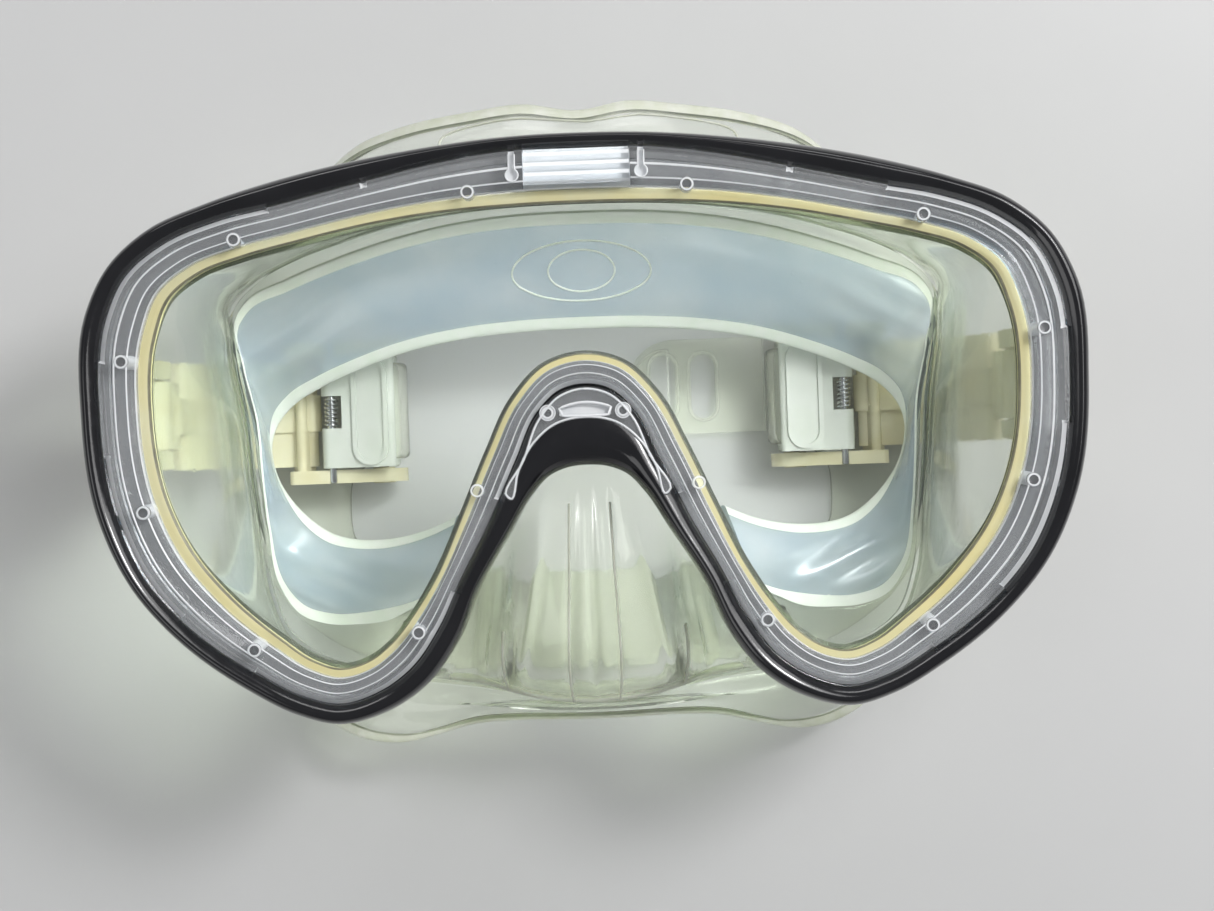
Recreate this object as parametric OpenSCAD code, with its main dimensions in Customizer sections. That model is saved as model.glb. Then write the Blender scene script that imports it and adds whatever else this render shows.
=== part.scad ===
// Single-lens diving mask, lying lens up on its silicone skirt.
// Origin: centre of the footprint, on the surface the mask lies on. +Z out of the lens, +Y to the forehead.

/* [Overall] */
// Height of the frame's front face above the surface the mask lies on
front_z = 70; // [68:0.5:72]
// Spline steps between two control points of an outline
steps = 2; // [2:1:3]

/* [Frame and lens] */
// Depth of the black outer frame, front to back
frame_depth = 14.5; // [13:0.5:16]
// Thickness of the tempered glass
lens_t = 4; // [3.5:0.1:4.2]
// Thickness of the silicone lip folded over the edge of the glass
lip_t = 1.2; // [1:0.1:1.4]
// Diameter of the round snap pins that hold the clear ring
pin_d = 2.4; // [2:0.1:2.6]
// Width of the clip at the brow
clip_w = 18.5; // [17:0.5:20]
// Thickness of the crescent plate over the nose
crescent_t = 2.2; // [1.8:0.1:2.6]

/* [Silicone skirt] */
// Thickness of the skirt's wall
wall_t = 1.9; // [1.6:0.1:2.2]
// Thickness of the thin face seals
seal_t = 1.5; // [1.2:0.1:1.8]

/* [Buckles] */
// Distance of each buckle's hinge axis from the middle of the mask
hinge_x = 81.5; // [81:0.25:82]
// Height of each buckle's hinge axis
hinge_z = 38; // [37:0.5:39]
// Distance of the buckles' centre line from the middle of the mask, towards the brow
buckle_y = 5; // [4.5:0.25:5.5]
// Diameter of the steel hinge pin
hinge_pin_d = 3; // [2.5:0.1:3.2]
// Distance of each strap roller from the middle of the mask
roller_x = 41; // [40:0.5:42]
// Height of the strap rollers
roller_z = 7.6; // [7.4:0.1:8]
// Diameter of the strap rollers
roller_d = 6.6; // [6:0.2:7]
// Diameter of the steel axles of the rollers
axle_d = 2; // [1.8:0.1:2.2]

/* [Strap] */
// Width of the silicone strap
strap_w = 19; // [17:0.5:20]
// Thickness of the silicone strap
strap_t = 1.8; // [1.6:0.1:1.8]

/* [Hidden] */

gap = 0.05;             // clearance of parts that only touch
run_gap = 0.05;         // radial running clearance of pins and axles
seam_gap = 0.9;         // between the wall of the skirt and the nose pocket
$fn = 48;

// ---- Heights of the lens stack, from the front face down
ring_base_z = front_z - 4.7;
lens_top_z = ring_base_z - gap - lip_t;
lens_bottom_z = lens_top_z - lens_t;
channel_bottom_z = lens_bottom_z - lip_t;
frame_bottom_z = front_z - frame_depth;

// ---- Half outlines seen from the front, right half, from the brow clockwise to the nose arch.
// The control points of every outline run side by side, so a section can be led along any two.
frame_half = [
  [0, 51.5], [12.1, 51.2], [24.5, 50.1], [37.8, 48.2], [54, 44.8], [65.6, 41.4], [76, 37.1], [83, 31],
  [87.4, 22.4], [88.7, 5], [86.4, -13.4], [80.7, -26.2], [72.6, -35.7], [61.3, -44.3], [52.5, -49.1],
  [45.4, -51], [36.3, -48.9], [29.8, -44.8], [23.8, -37.1], [19.6, -27.7], [14, -18.6], [9.6, -11.6],
  [6.9, -8.8], [3.7, -7.4], [0, -7]
];
window_half = [
  [0, 48.7], [12, 48.4], [24.2, 46.7], [37.3, 43.9], [52.9, 40.3], [63.3, 38.1], [73.1, 34.3], [79.8, 29],
  [83.5, 21.5], [84.8, 5], [82.6, -13], [77.6, -24.6], [70.2, -33.2], [59.4, -41.2], [51, -45.8],
  [45, -47.3], [37.4, -45.2], [32.2, -41.6], [27, -34.6], [22.9, -26.3], [17.8, -17], [12.4, -5.5],
  [8.4, 2.6], [4.3, 6.3], [0, 7.2]
];
glass_half = [
  [0, 39.3], [12, 39.1], [23.6, 38.5], [36, 37], [50, 34.2], [59.2, 32], [67.4, 29.2], [72.6, 25.2],
  [75.4, 18.5], [76.6, 4], [74.5, -9.8], [70.1, -19.8], [63.7, -28], [55.3, -35.6], [49.5, -39.8],
  [45, -41.3], [40, -40.2], [35.6, -37], [31.4, -31.9], [27.5, -26], [22.6, -15.5], [17.6, -4.2], [12.8, 5],
  [6.8, 11], [0, 12.7]
];
// Where the wall of the skirt ends and the seals begin, with heights
root_half = [
  [0, 44.5, 44], [12, 44.3, 43.5], [23, 43.2, 42], [34.5, 41.4, 39], [46, 38.6, 34.5], [56, 35.4, 30],
  [64, 31.6, 26.5], [69.5, 26.5, 24.5], [69.6, 17, 25], [67.5, 4, 26], [66.6, -9, 24.5], [66, -20, 20],
  [65, -31, 17], [61.5, -39.5, 17], [56, -43.5, 18.5], [50, -45.6, 19.5], [43.5, -46.9, 20.5],
  [37.5, -47.4, 21.8], [32, -47.8, 23], [27, -48.4, 24], [22, -49.2, 25.2], [17, -50.4, 26.4],
  [11.5, -51.3, 27.4], [6, -51.7, 27.9], [0, -51.8, 28]
];
// Free edge of the outer seal; it rises over each buckle and meets the surface in four places
outer_edge_half = [
  [0, 59.1, 38], [10.2, 60.6, 37.5], [20.5, 59.7, 36], [31.5, 58.3, 33], [41.5, 55.8, 28], [50.5, 50.5, 20],
  [61.5, 43, 9], [71.5, 33, 0.9], [74.4, 20.5, 17], [72.2, 5, 19.6], [72, -10.5, 16], [73, -25, 1.4],
  [71, -35, 0.9], [68, -41.5, 2.5], [64.5, -46.5, 5], [60, -51, 8.5], [55, -54.2, 12], [50, -57.2, 15.5],
  [44.5, -59, 18.5], [38.5, -59.5, 20.5], [31.5, -58.2, 22.5], [23.5, -56.2, 24], [15, -55.7, 25],
  [7.5, -55.8, 25.5], [0, -55.9, 25.8]
];
// Where the inner seal turns towards the face, and the edge of the face opening; both end beside the nose
seal_turn_half = [
  [0, 39.4, 38], [11.5, 39.2, 37.6], [22.5, 38.3, 36.5], [34, 36.3, 34], [46, 33.2, 30.5], [56.5, 29.6, 28],
  [64.2, 26.4, 26.6], [66.6, 23.6, 26.2], [65.6, 14, 26.2], [63.4, 4, 26.6], [62.8, -7, 25.4],
  [62.4, -18, 22], [61, -28, 19.6], [57, -33.6, 19.6], [51.5, -35.4, 20.5], [46, -35.4, 21.5],
  [40, -34.6, 23], [35, -33.2, 25], [31, -31.4, 27]
];
opening_half = [
  [0, 19.3, 30], [11, 19.1, 29.8], [22, 18.3, 29], [33, 16.5, 27.5], [43.5, 13.4, 25], [51.5, 10.2, 22.5],
  [57.2, 7, 20.5], [60.4, 3.4, 19.5], [61.6, -0.4, 19], [61.5, -4, 19], [60.4, -8.2, 18.5],
  [58.4, -12.2, 17.5], [55.4, -16, 17], [51, -19.2, 17.5], [46, -20.5, 18.5], [41, -20.7, 19.5],
  [35, -19.8, 21], [30, -18.2, 23], [26, -16.4, 25]
];
// Rows of the nose pocket between the nose arch and the lip, from the finger wells to the ridge
nose_first = 17;
pocket_rows = [
  [[35.4, -40.5, 49], [30.4, -36.5, 48], [26, -31, 46], [21, -23.5, 46], [16.8, -17, 49.6],
   [12.6, -12, 52.8], [7, -9.5, 53.8], [0, -9, 54]],
  [[36, -44, 39.5], [31, -42, 38], [26, -38.5, 37], [21.6, -35, 39], [18.6, -32, 44], [14.6, -29, 51],
   [8, -27, 54.8], [0, -26, 55.6]],
  [[36.8, -47, 32], [32, -46.5, 31], [27.4, -45, 30.5], [23.2, -43.5, 33], [20.4, -42.5, 39],
   [16.2, -42, 46], [9, -42, 51.6], [0, -42, 53.4]],
  [[37.2, -46.8, 26.5], [32.2, -47, 26.6], [27.8, -47.3, 27], [23.6, -47.8, 28.6], [20, -48.2, 32.5],
   [15.4, -49.3, 37.5], [8.4, -50.5, 42], [0, -51, 43.6]]
];

// ---- Splines and lofts
function mirror_x(p) = [for (i = [0:len(p) - 1]) i == 0 ? -p[i] : p[i]];
function loop(half) =
  concat(half, [for (i = [len(half) - 2:-1:1]) mirror_x(half[i])]);
function arch(half) =
  concat([for (i = [len(half) - 1:-1:1]) mirror_x(half[i])], half);
function mix(a, b, t) = a + (b - a) * t;
function mix_all(a, b, t) = [for (i = [0:len(a) - 1]) mix(a[i], b[i], t)];
function at_z(outline, z) = [for (p = outline) [p[0], p[1], z]];
function tangent(a, b, c) =
  let(d0 = norm(b - a), d1 = norm(c - b))
  ((b - a) / d0 * d1 + (c - b) / d1 * d0) / (d0 + d1);
function hermite(p, q, m0, m1, t) =
  let(len_pq = norm(q - p), t2 = t * t, t3 = t2 * t)
  (2 * t3 - 3 * t2 + 1) * p + (t3 - 2 * t2 + t) * len_pq * m0 +
    (3 * t2 - 2 * t3) * q + (t3 - t2) * len_pq * m1;
// Smooth closed curve through the points of a full loop
function curve(p, n = steps) =
  let(c = len(p), m = [for (i = [0:c - 1]) tangent(p[(i + c - 1) % c], p[i], p[(i + 1) % c])])
  [for (i = [0:c - 1]) for (k = [0:n - 1]) hermite(p[i], p[(i + 1) % c], m[i], m[(i + 1) % c], k / n)];
// Smooth open curve through the points
function open_curve(p, n = steps) =
  let(
    e = len(p) - 1,
    m = [for (i = [0:e])
      i == 0 ? (p[1] - p[0]) / norm(p[1] - p[0]) :
      i == e ? (p[e] - p[e - 1]) / norm(p[e] - p[e - 1]) : tangent(p[i - 1], p[i], p[i + 1])]
  )
  concat([for (i = [0:e - 1]) for (k = [0:n - 1]) hermite(p[i], p[i + 1], m[i], m[i + 1], k / n)], [p[e]]);
// Unit normals of a grid of points, rows along the outline
function grid_normal(g, r, i, closed) =
  let(
    n = len(g[r]),
    a = g[r][closed ? (i + n - 1) % n : max(i - 1, 0)],
    b = g[r][closed ? (i + 1) % n : min(i + 1, n - 1)],
    c = g[max(r - 1, 0)][i],
    d = g[min(r + 1, len(g) - 1)][i],
    v = cross(b - a, d - c)
  )
  v / norm(v);
function grid_offset(g, t, closed) =
  [for (r = [0:len(g) - 1]) [for (i = [0:len(g[r]) - 1]) g[r][i] + t * grid_normal(g, r, i, closed)]];
// Rows that go round a closed section, led round a loop or from end to end
module loft(rows, closed = true, turn = false) {
  n = len(rows[0]);
  m = len(rows);
  spans = closed ? n : n - 1;
  sides = [for (r = [0:m - 1]) for (i = [0:spans - 1])
    let(j = (i + 1) % n, q = (r + 1) % m, a = r * n + i, b = r * n + j, c = q * n + j, d = q * n + i)
    each [[a, b, c], [a, c, d]]];
  caps = closed ? [] : [[for (r = [0:m - 1]) r * n], [for (r = [m - 1:-1:0]) r * n + n - 1]];
  faces = concat(sides, caps);
  turned = [for (f = faces) [for (k = [len(f) - 1:-1:0]) f[k]]];
  polyhedron([for (row = rows) each row], turn ? turned : faces);
}
// A sheet of even thickness on a grid of points, trimmed flat at the height of its top
module sheet(grid, t, closed = true, turn = false, top = 1000) {
  back = [for (row = grid_offset(grid, t, closed)) [for (p = row) [p[0], p[1], min(p[2], top)]]];
  loft(concat(grid, [for (r = [len(back) - 1:-1:0]) back[r]]), closed, turn);
}
// A section given as [from outline, to outline, share, height] points
module led_section(section) {
  loft([for (s = section) at_z(curve(loop(mix_all(s[0], s[1], s[2]))), s[3])]);
}
module lens_shape(share) {
  polygon(curve(loop(mix_all(window_half, glass_half, share)), 3));
}

// ---- Frame, ring and lens
main_frame_section = [
  [frame_half, window_half, 0.3, frame_bottom_z],
  [frame_half, window_half, 0, frame_bottom_z + 1.8],
  [frame_half, window_half, 0, front_z - 3.4],
  [frame_half, window_half, 0.12, front_z - 1.3],
  [frame_half, window_half, 0.4, front_z - 0.2],
  [frame_half, window_half, 0.75, front_z],
  [frame_half, window_half, 0.97, front_z - 0.6],
  [frame_half, window_half, 0.97, channel_bottom_z - gap],
  [window_half, glass_half, 0.6, channel_bottom_z - gap],
  [window_half, glass_half, 0.6, frame_bottom_z]
];
ring_section = [
  [window_half, glass_half, 0.02, ring_base_z],
  [window_half, glass_half, 0.02, front_z - 1.1],
  [window_half, glass_half, 0.12, front_z - 0.3],
  [window_half, glass_half, 0.4, front_z - 0.1],
  [window_half, glass_half, 0.66, front_z - 1.3],
  [window_half, glass_half, 0.76, front_z - 2.9],
  [window_half, glass_half, 0.76, ring_base_z]
];
channel_section = [
  [window_half, glass_half, 0.06, channel_bottom_z],
  [window_half, glass_half, 0.06, ring_base_z - gap],
  [window_half, glass_half, 1, ring_base_z - gap],
  [window_half, glass_half, 1, lens_top_z + 0.02],
  [window_half, glass_half, 0.33, lens_top_z + 0.02],
  [window_half, glass_half, 0.33, lens_bottom_z - 0.02],
  [window_half, glass_half, 0.95, lens_bottom_z - 0.02],
  [window_half, glass_half, 0.95, channel_bottom_z]
];
crescent_half = [
  [0, 6.6], [4.5, 5.4], [8.2, 1.6], [11.3, -5.6], [14.2, -12.4], [13.7, -12.7], [11.8, -7.8], [9.2, -3.2],
  [5.2, 0.1], [0, 1.1]
];
nose_pin_x = 6.6;
nose_pin_y = 2.3;
pin_spots = [
  [19.2, 41.4], [60.3, 34.6], [80.7, 14], [77.8, -12.5], [59.3, -37.2], [30.5, -35.2], [19.4, -10.8]
];
clip_y = [42.4, 48.4];
clip_z = front_z - 3.2;
prong_x = 11.3;

module crescent_shape() {
  polygon(curve(loop(crescent_half), 3));
}
module keyhole_shape() {
  translate([0, 44]) circle(d = 2.2);
  hull() {
    translate([0, 44]) circle(d = 1.2);
    translate([0, 47.4]) circle(d = 0.9);
  }
}
module main_frame() {
  color([0.03, 0.03, 0.035])
  difference() {
    led_section(main_frame_section);
    translate([0, 0, front_z - crescent_t - gap]) linear_extrude(10) offset(delta = 0.1) crescent_shape();
    for (s = [-1, 1]) translate([s * nose_pin_x, nose_pin_y, front_z - 6]) cylinder(d = pin_d + 0.1, h = 8);
  }
}
module lens_ring() {
  color([0.86, 0.9, 0.92, 0.6])
  difference() {
    led_section(ring_section);
    translate([-clip_w / 2 - 0.1, clip_y[0] - 0.1, clip_z - gap]) cube([clip_w + 0.2, 8, 8]);
    for (p = pin_spots) for (s = [-1, 1])
      translate([s * p[0], p[1], ring_base_z - 1]) cylinder(d = pin_d + 0.1, h = 8);
    for (s = [-1, 1]) translate([s * prong_x, 0, front_z - 1.4]) linear_extrude(4) keyhole_shape();
  }
}
module lens() {
  color([0.8, 0.9, 0.9, 0.3])
  translate([0, 0, lens_bottom_z]) linear_extrude(lens_t) lens_shape(0.36);
}
module top_clip() {
  rib_pitch = 1.5;
  color([0.86, 0.9, 0.92, 0.6])
  difference() {
    translate([-clip_w / 2, clip_y[0], clip_z]) cube([clip_w, clip_y[1] - clip_y[0], front_z - clip_z]);
    for (i = [0:2])
      translate([-clip_w, clip_y[0] + 1.5 + i * rib_pitch, front_z]) rotate([0, 90, 0])
        cylinder(d = 0.8, h = 2 * clip_w);
  }
}
module nose_plate() {
  color([0.86, 0.9, 0.92, 0.6])
  translate([0, 0, front_z - crescent_t]) difference() {
    linear_extrude(crescent_t) crescent_shape();
    for (s = [-1, 1]) translate([s * nose_pin_x, nose_pin_y, -1]) cylinder(d = pin_d + 0.1, h = 8);
    translate([0, 0, -1]) linear_extrude(8) intersection() {
      translate([0, -4.4]) circle(r = 8.6);
      translate([0, 9.6]) circle(r = 8.4);
    }
  }
}
module ring_pins() {
  color([0.9, 0.93, 0.94, 0.6])
  for (p = pin_spots) for (s = [-1, 1])
    translate([s * p[0], p[1], ring_base_z]) cylinder(d = pin_d, h = front_z - 0.4 - ring_base_z);
}
module nose_pins() {
  color([0.9, 0.93, 0.94, 0.6])
  for (s = [-1, 1]) translate([s * nose_pin_x, nose_pin_y, front_z - 6]) cylinder(d = pin_d, h = 5.8);
}

// ---- Skirt: one silicone moulding, held here as five solids that meet face to face
channel_row = at_z(mix_all(window_half, glass_half, 0.78), channel_bottom_z - gap);
// Rows of the wall; it leans in below the glass, then runs nearly straight back to the seals
wall_shares = [0.25, 0.5, 0.75, 1];
function wall_point(i, t) =
  let(a = channel_row[i], b = root_half[i], lean = 1 - (1 - t) * (1 - t))
  [mix(a[0], b[0], lean), mix(a[1], b[1], lean), mix(a[2], b[2], t)];
// A point of the wall's root moved in, clear of the wall's thickness
function inside(p, d) = p * (1 - d / norm([p[0], p[1]])) + [0, 0, p[2] * d / norm([p[0], p[1]]) + 2];
wall_rows = concat(
  [[for (i = [0:nose_first]) channel_row[i]]],
  [for (t = wall_shares) [for (i = [0:nose_first]) t == 1 || i < nose_first ? wall_point(i, t) :
    pocket_rows[round(t * 4) - 1][0]]]
);
module skirt_channel() {
  color([0.85, 0.8, 0.62])
  led_section(channel_section);
}
module skirt_wall() {
  color([0.85, 0.88, 0.88, 0.5])
  sheet([for (row = wall_rows) open_curve(arch(row))], -wall_t, false, top = channel_row[0][2]);
}
module nose_pocket() {
  // the pocket drops straight past the flange of the frame before it runs forward
  flange_pass = [for (i = [nose_first:24])
    mix(
      mix(channel_row[i], pocket_rows[0][i - nose_first], 0.4),
      [each mix(window_half[i], glass_half[i], 0.74), frame_bottom_z - 0.7],
      min((i - nose_first) / 2, 1))];
  rows = concat(
    [[for (i = [nose_first:24]) channel_row[i]], flange_pass],
    pocket_rows,
    [[for (i = [nose_first:24]) root_half[i]]]
  );
  color([0.85, 0.88, 0.86, 0.5])
  // both ends slide along their row, clear of the wall
  sheet([for (row = rows) open_curve([for (i = [0:14])
    let(
      k = min(i, 14 - i),
      p = k == 0 ? row[0] + (row[1] - row[0]) * seam_gap / norm(row[1] - row[0]) : row[k]
    )
    i < 8 ? p : mirror_x(p)])],
    -wall_t, false, top = channel_row[0][2]);
}
module skirt_outer_seal() {
  rows = [for (t = [0.03, 0.35, 0.7, 1]) curve(loop([for (i = [0:24])
    let(p = mix(root_half[i], outer_edge_half[i], t)) [p[0], p[1], p[2] + 3 * sin(180 * t) * (1 - t)]]))];
  color([0.88, 0.9, 0.9, 0.5])
  sheet(rows, -seal_t);
}
module skirt_inner_seal() {
  lip_rows = [for (t = [0, 0.5, 1]) [for (i = [0:18])
    let(p = mix(seal_turn_half[i], opening_half[i], t)) [p[0], p[1], p[2] + 2 * sin(180 * t)]]];
  root_row = [for (i = [0:18]) i < 17 ? inside(root_half[i], wall_t + 1) :
    mix(seal_turn_half[i], seal_turn_half[i - 1], 0.1) + [2, -3, 0]];
  rows = [for (row = concat([root_row], lip_rows)) open_curve(arch(row))];
  color([0.8, 0.87, 0.93, 0.7])
  sheet(rows, -seal_t, false);
}

// ---- Buckles, drawn for the right side and mirrored for the left
hub_w = 12.8;
tongue_w = 7.2;
grip_w = 21;
frame_w = 28;
cheek_t = 2.6;
ear_t = 3.4;
ear_gap = 0.4;
arm_t = 3.2;
bar_x = 55;
lever_x = 50.5;
lever_z = 13.6;
lever_pin_d = 1.6;
lever_w = frame_w - 2 * cheek_t - 0.8;
turn_r = roller_d / 2 + 0.15;
wire_d = 0.7;
module at_side(s) {
  if (s > 0) children();
  else mirror([1, 0, 0]) children();
}
// Extrudes a profile drawn in X and Z along Y, centred on the buckle
module across(w) {
  translate([0, buckle_y + w / 2, 0]) rotate([90, 0, 0]) linear_extrude(w) children();
}
module rod(x, z, d, w) {
  translate([x, buckle_y + w / 2, z]) rotate([90, 0, 0]) cylinder(d = d, h = w);
}
module buckle_mount(s) {
  ear_y = (hub_w + ear_t) / 2 + ear_gap;
  color([0.88, 0.87, 0.78, 0.7])
  at_side(s) difference() {
    union() {
      across(2 * ear_y + ear_t) polygon([
        [80.2, frame_bottom_z], [86.2, frame_bottom_z], [86.2, 48], [84.4, 44.4], [81, 44.8], [80.2, 48]]);
      for (e = [-1, 1]) translate([0, e * ear_y, 0]) across(ear_t) hull() {
        translate([hinge_x, hinge_z]) circle(r = 3.6);
        translate([80.4, 45]) square([4.6, 4]);
      }
    }
    rod(hinge_x, hinge_z, hinge_pin_d + 0.04, 40);
  }
}
module hinge_pin(s) {
  color([0.75, 0.76, 0.78])
  at_side(s) rod(hinge_x, hinge_z, hinge_pin_d, hub_w + 2 * ear_t + 2 * ear_gap + 0.6);
}
// Side view of the curved arm, from the hinge round to the flat roller frame
arm_path = [[79.6, 30], [78.8, 23], [76.4, 16], [71.5, 11.6], [64, 9.6], [bar_x, 9]];
module strip_shape(path, t) {
  line = open_curve(path, 4);
  offset(r = t / 2 - 0.05) polygon(concat(
    [for (p = line) p + [0.05, 0.05]], [for (i = [len(line) - 1:-1:0]) line[i] - [0.05, 0.05]]));
}
module buckle_body(s) {
  ribs = [
    [77.6, 25, 80], [77.9, 21, 72], [76.2, 17, 58], [73.6, 14.1, 44], [70.4, 12, 26], [66.8, 10.8, 14]
  ];
  color([0.88, 0.86, 0.72, 0.8])
  at_side(s) difference() {
    union() {
      across(hub_w) union() {
        translate([hinge_x, hinge_z]) circle(r = 3.4);
        polygon([[hinge_x - 3.4, hinge_z], [hinge_x + 3, hinge_z + 1], [hinge_x - 0.2, 28.4], [78, 28.4]]);
      }
      across(tongue_w) strip_shape(arm_path, arm_t + 0.8);
      across(grip_w) intersection() {
        strip_shape(arm_path, arm_t - 0.6);
        translate([60, 0]) square([40, 27]);
      }
      // ribs of the grip
      across(grip_w) for (r = ribs)
        translate([r[0], r[1]]) rotate(r[2]) square([1.4, arm_t + 0.4], center = true);
      // roller frame
      for (e = [-1, 1]) translate([0, e * (frame_w - cheek_t) / 2, 0]) across(cheek_t) hull() {
        translate([roller_x, roller_z]) circle(r = 4.8);
        translate([bar_x - 2, 6.6]) square([6, 8.6]);
      }
      across(frame_w) translate([bar_x - 0.4, 6.6]) square([4.4, 6]);
    }
    rod(roller_x, roller_z, axle_d + 0.04, 40);
    rod(hinge_x, hinge_z, hinge_pin_d + 2 * run_gap, 40);
    rod(lever_x, lever_z, lever_pin_d + 0.04, 40);
  }
}
module roller_axle(s) {
  color([0.75, 0.76, 0.78])
  at_side(s) rod(roller_x, roller_z, axle_d, frame_w);
}
module strap_roller(s) {
  groove_count = 12;
  color([0.9, 0.9, 0.86, 0.8])
  at_side(s) difference() {
    rod(roller_x, roller_z, roller_d, lever_w);
    rod(roller_x, roller_z, axle_d + 2 * run_gap, 40);
    for (i = [0:groove_count - 1]) translate([roller_x, 0, roller_z]) rotate([0, 360 / groove_count * i, 0])
      translate([roller_d / 2, buckle_y + 20, 0]) rotate([90, 0, 0]) cylinder(d = 0.7, h = 40);
  }
}
module release_lever(s) {
  spring_slot = 6.4;
  color([0.9, 0.9, 0.84, 0.8])
  at_side(s) difference() {
    across(lever_w) union() {
      translate([lever_x, lever_z]) hull() {
        circle(r = 1.9);
        translate([-4.4, 1]) circle(r = 1);
      }
      translate([lever_x, lever_z]) hull() {
        translate([-4.4, 1]) circle(r = 1);
        translate([-11.8, 2.1]) circle(r = 0.9);
      }
    }
    rod(lever_x, lever_z, lever_pin_d + 2 * run_gap, 40);
    across(spring_slot) translate([lever_x - 2.2, lever_z - 3]) square([5, 6]);
  }
}
module lever_pin(s) {
  color([0.75, 0.76, 0.78])
  at_side(s) rod(lever_x, lever_z, lever_pin_d, frame_w);
}
// Torsion spring round the lever's pin
module lever_spring(s) {
  coils = 7;
  pitch = wire_d * 0.95;
  color([0.7, 0.71, 0.73])
  at_side(s) for (i = [0:coils - 1])
    translate([lever_x, buckle_y + (i - (coils - 1) / 2) * pitch, lever_z]) rotate([90, 0, 0])
      rotate_extrude() translate([lever_pin_d / 2 + 0.1 + wire_d / 2, 0]) circle(d = wire_d);
}

// ---- Strap: one silicone strap, cut where it leaves the buckles so that the buckles can swing
module strap_band(path) {
  rows = open_curve(path, 3);
  e = len(rows) - 1;
  left = [for (i = [0:e])
    let(d = rows[min(i + 1, e)] - rows[max(i - 1, 0)], n = [-d[1], d[0], 0] / norm([d[0], d[1]]))
    rows[i] + n * strap_w / 2];
  right = [for (i = [0:e]) 2 * rows[i] - left[i]];
  up = [0, 0, strap_t];
  loft([left, right, [for (p = right) p + up], [for (p = left) p + up]], false);
}
strap_cut_y = -12.4;
module strap_turn(s) {
  color([0.9, 0.9, 0.86, 0.6])
  at_side(s) difference() {
    rod(roller_x, roller_z, 2 * (turn_r + strap_t), strap_w);
    rod(roller_x, roller_z, 2 * turn_r, 40);
    translate([roller_x, -50, -1]) cube([30, 100, 30]);
  }
}
module strap_end(s) {
  color([0.9, 0.9, 0.86, 0.6])
  at_side(s) strap_band([
    [roller_x + 0.4, buckle_y, 0.4], [48, 3.6, 0.4], [54, -1, 0.4], [57.4, -6, 0.3],
    [58, strap_cut_y + 2.2, 0.3], [58, strap_cut_y + 0.2, 0.3]]);
}
module strap_tail(s) {
  slots = [15.4, 23.4];
  slot_w = 4.8;
  tail_y = 7.8 - buckle_y;
  tail_end = 8;
  tail_path = [[4, 1.4], [15, 1.4], [24, 1.6], [30, 2.6], [roller_x - turn_r - strap_t - 0.4, 4.6]];
  color([0.9, 0.9, 0.86, 0.6])
  at_side(s) translate([0, tail_y, 0]) intersection() {
    across(strap_w) strip_shape(tail_path, strap_t);
    linear_extrude(20) difference() {
      translate([tail_end + strap_w / 2, buckle_y]) union() {
        circle(d = strap_w);
        translate([0, -strap_w / 2]) square([60, strap_w]);
      }
      for (x = slots) hull() for (e = [-1, 1]) translate([x, buckle_y + e * 4]) circle(d = slot_w);
    }
  }
}
module strap_back() {
  half = [
    [0, -39, 0], [28, -38.6, 0], [46, -34, 0], [56.6, -24, 0],
    [58, strap_cut_y - 2.2, 0], [58, strap_cut_y - 0.2, 0]
  ];
  color([0.9, 0.9, 0.86, 0.6])
  strap_band(arch(half));
}

main_frame();
lens_ring();
lens();
top_clip();
nose_plate();
ring_pins();
nose_pins();
skirt_channel();
skirt_wall();
skirt_outer_seal();
skirt_inner_seal();
nose_pocket();
buckle_mount(-1);  // buckle_mount_left
buckle_mount(1);  // buckle_mount_right
hinge_pin(-1);  // hinge_pin_left
hinge_pin(1);  // hinge_pin_right
buckle_body(-1);  // buckle_body_left
buckle_body(1);  // buckle_body_right
release_lever(-1);  // release_lever_left
release_lever(1);  // release_lever_right
lever_pin(-1);  // lever_pin_left
lever_pin(1);  // lever_pin_right
lever_spring(-1);  // lever_spring_left
lever_spring(1);  // lever_spring_right
strap_roller(-1);  // strap_roller_left
strap_roller(1);  // strap_roller_right
roller_axle(-1);  // roller_axle_left
roller_axle(1);  // roller_axle_right
strap_turn(-1);  // strap_turn_left
strap_turn(1);  // strap_turn_right
strap_end(-1);  // strap_end_left
strap_end(1);  // strap_end_right
strap_tail(1);  // strap_tail_right
strap_back();
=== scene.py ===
"""Looks of the diving mask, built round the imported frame. Lengths are millimetres until scaled by MM."""

import math

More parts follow.
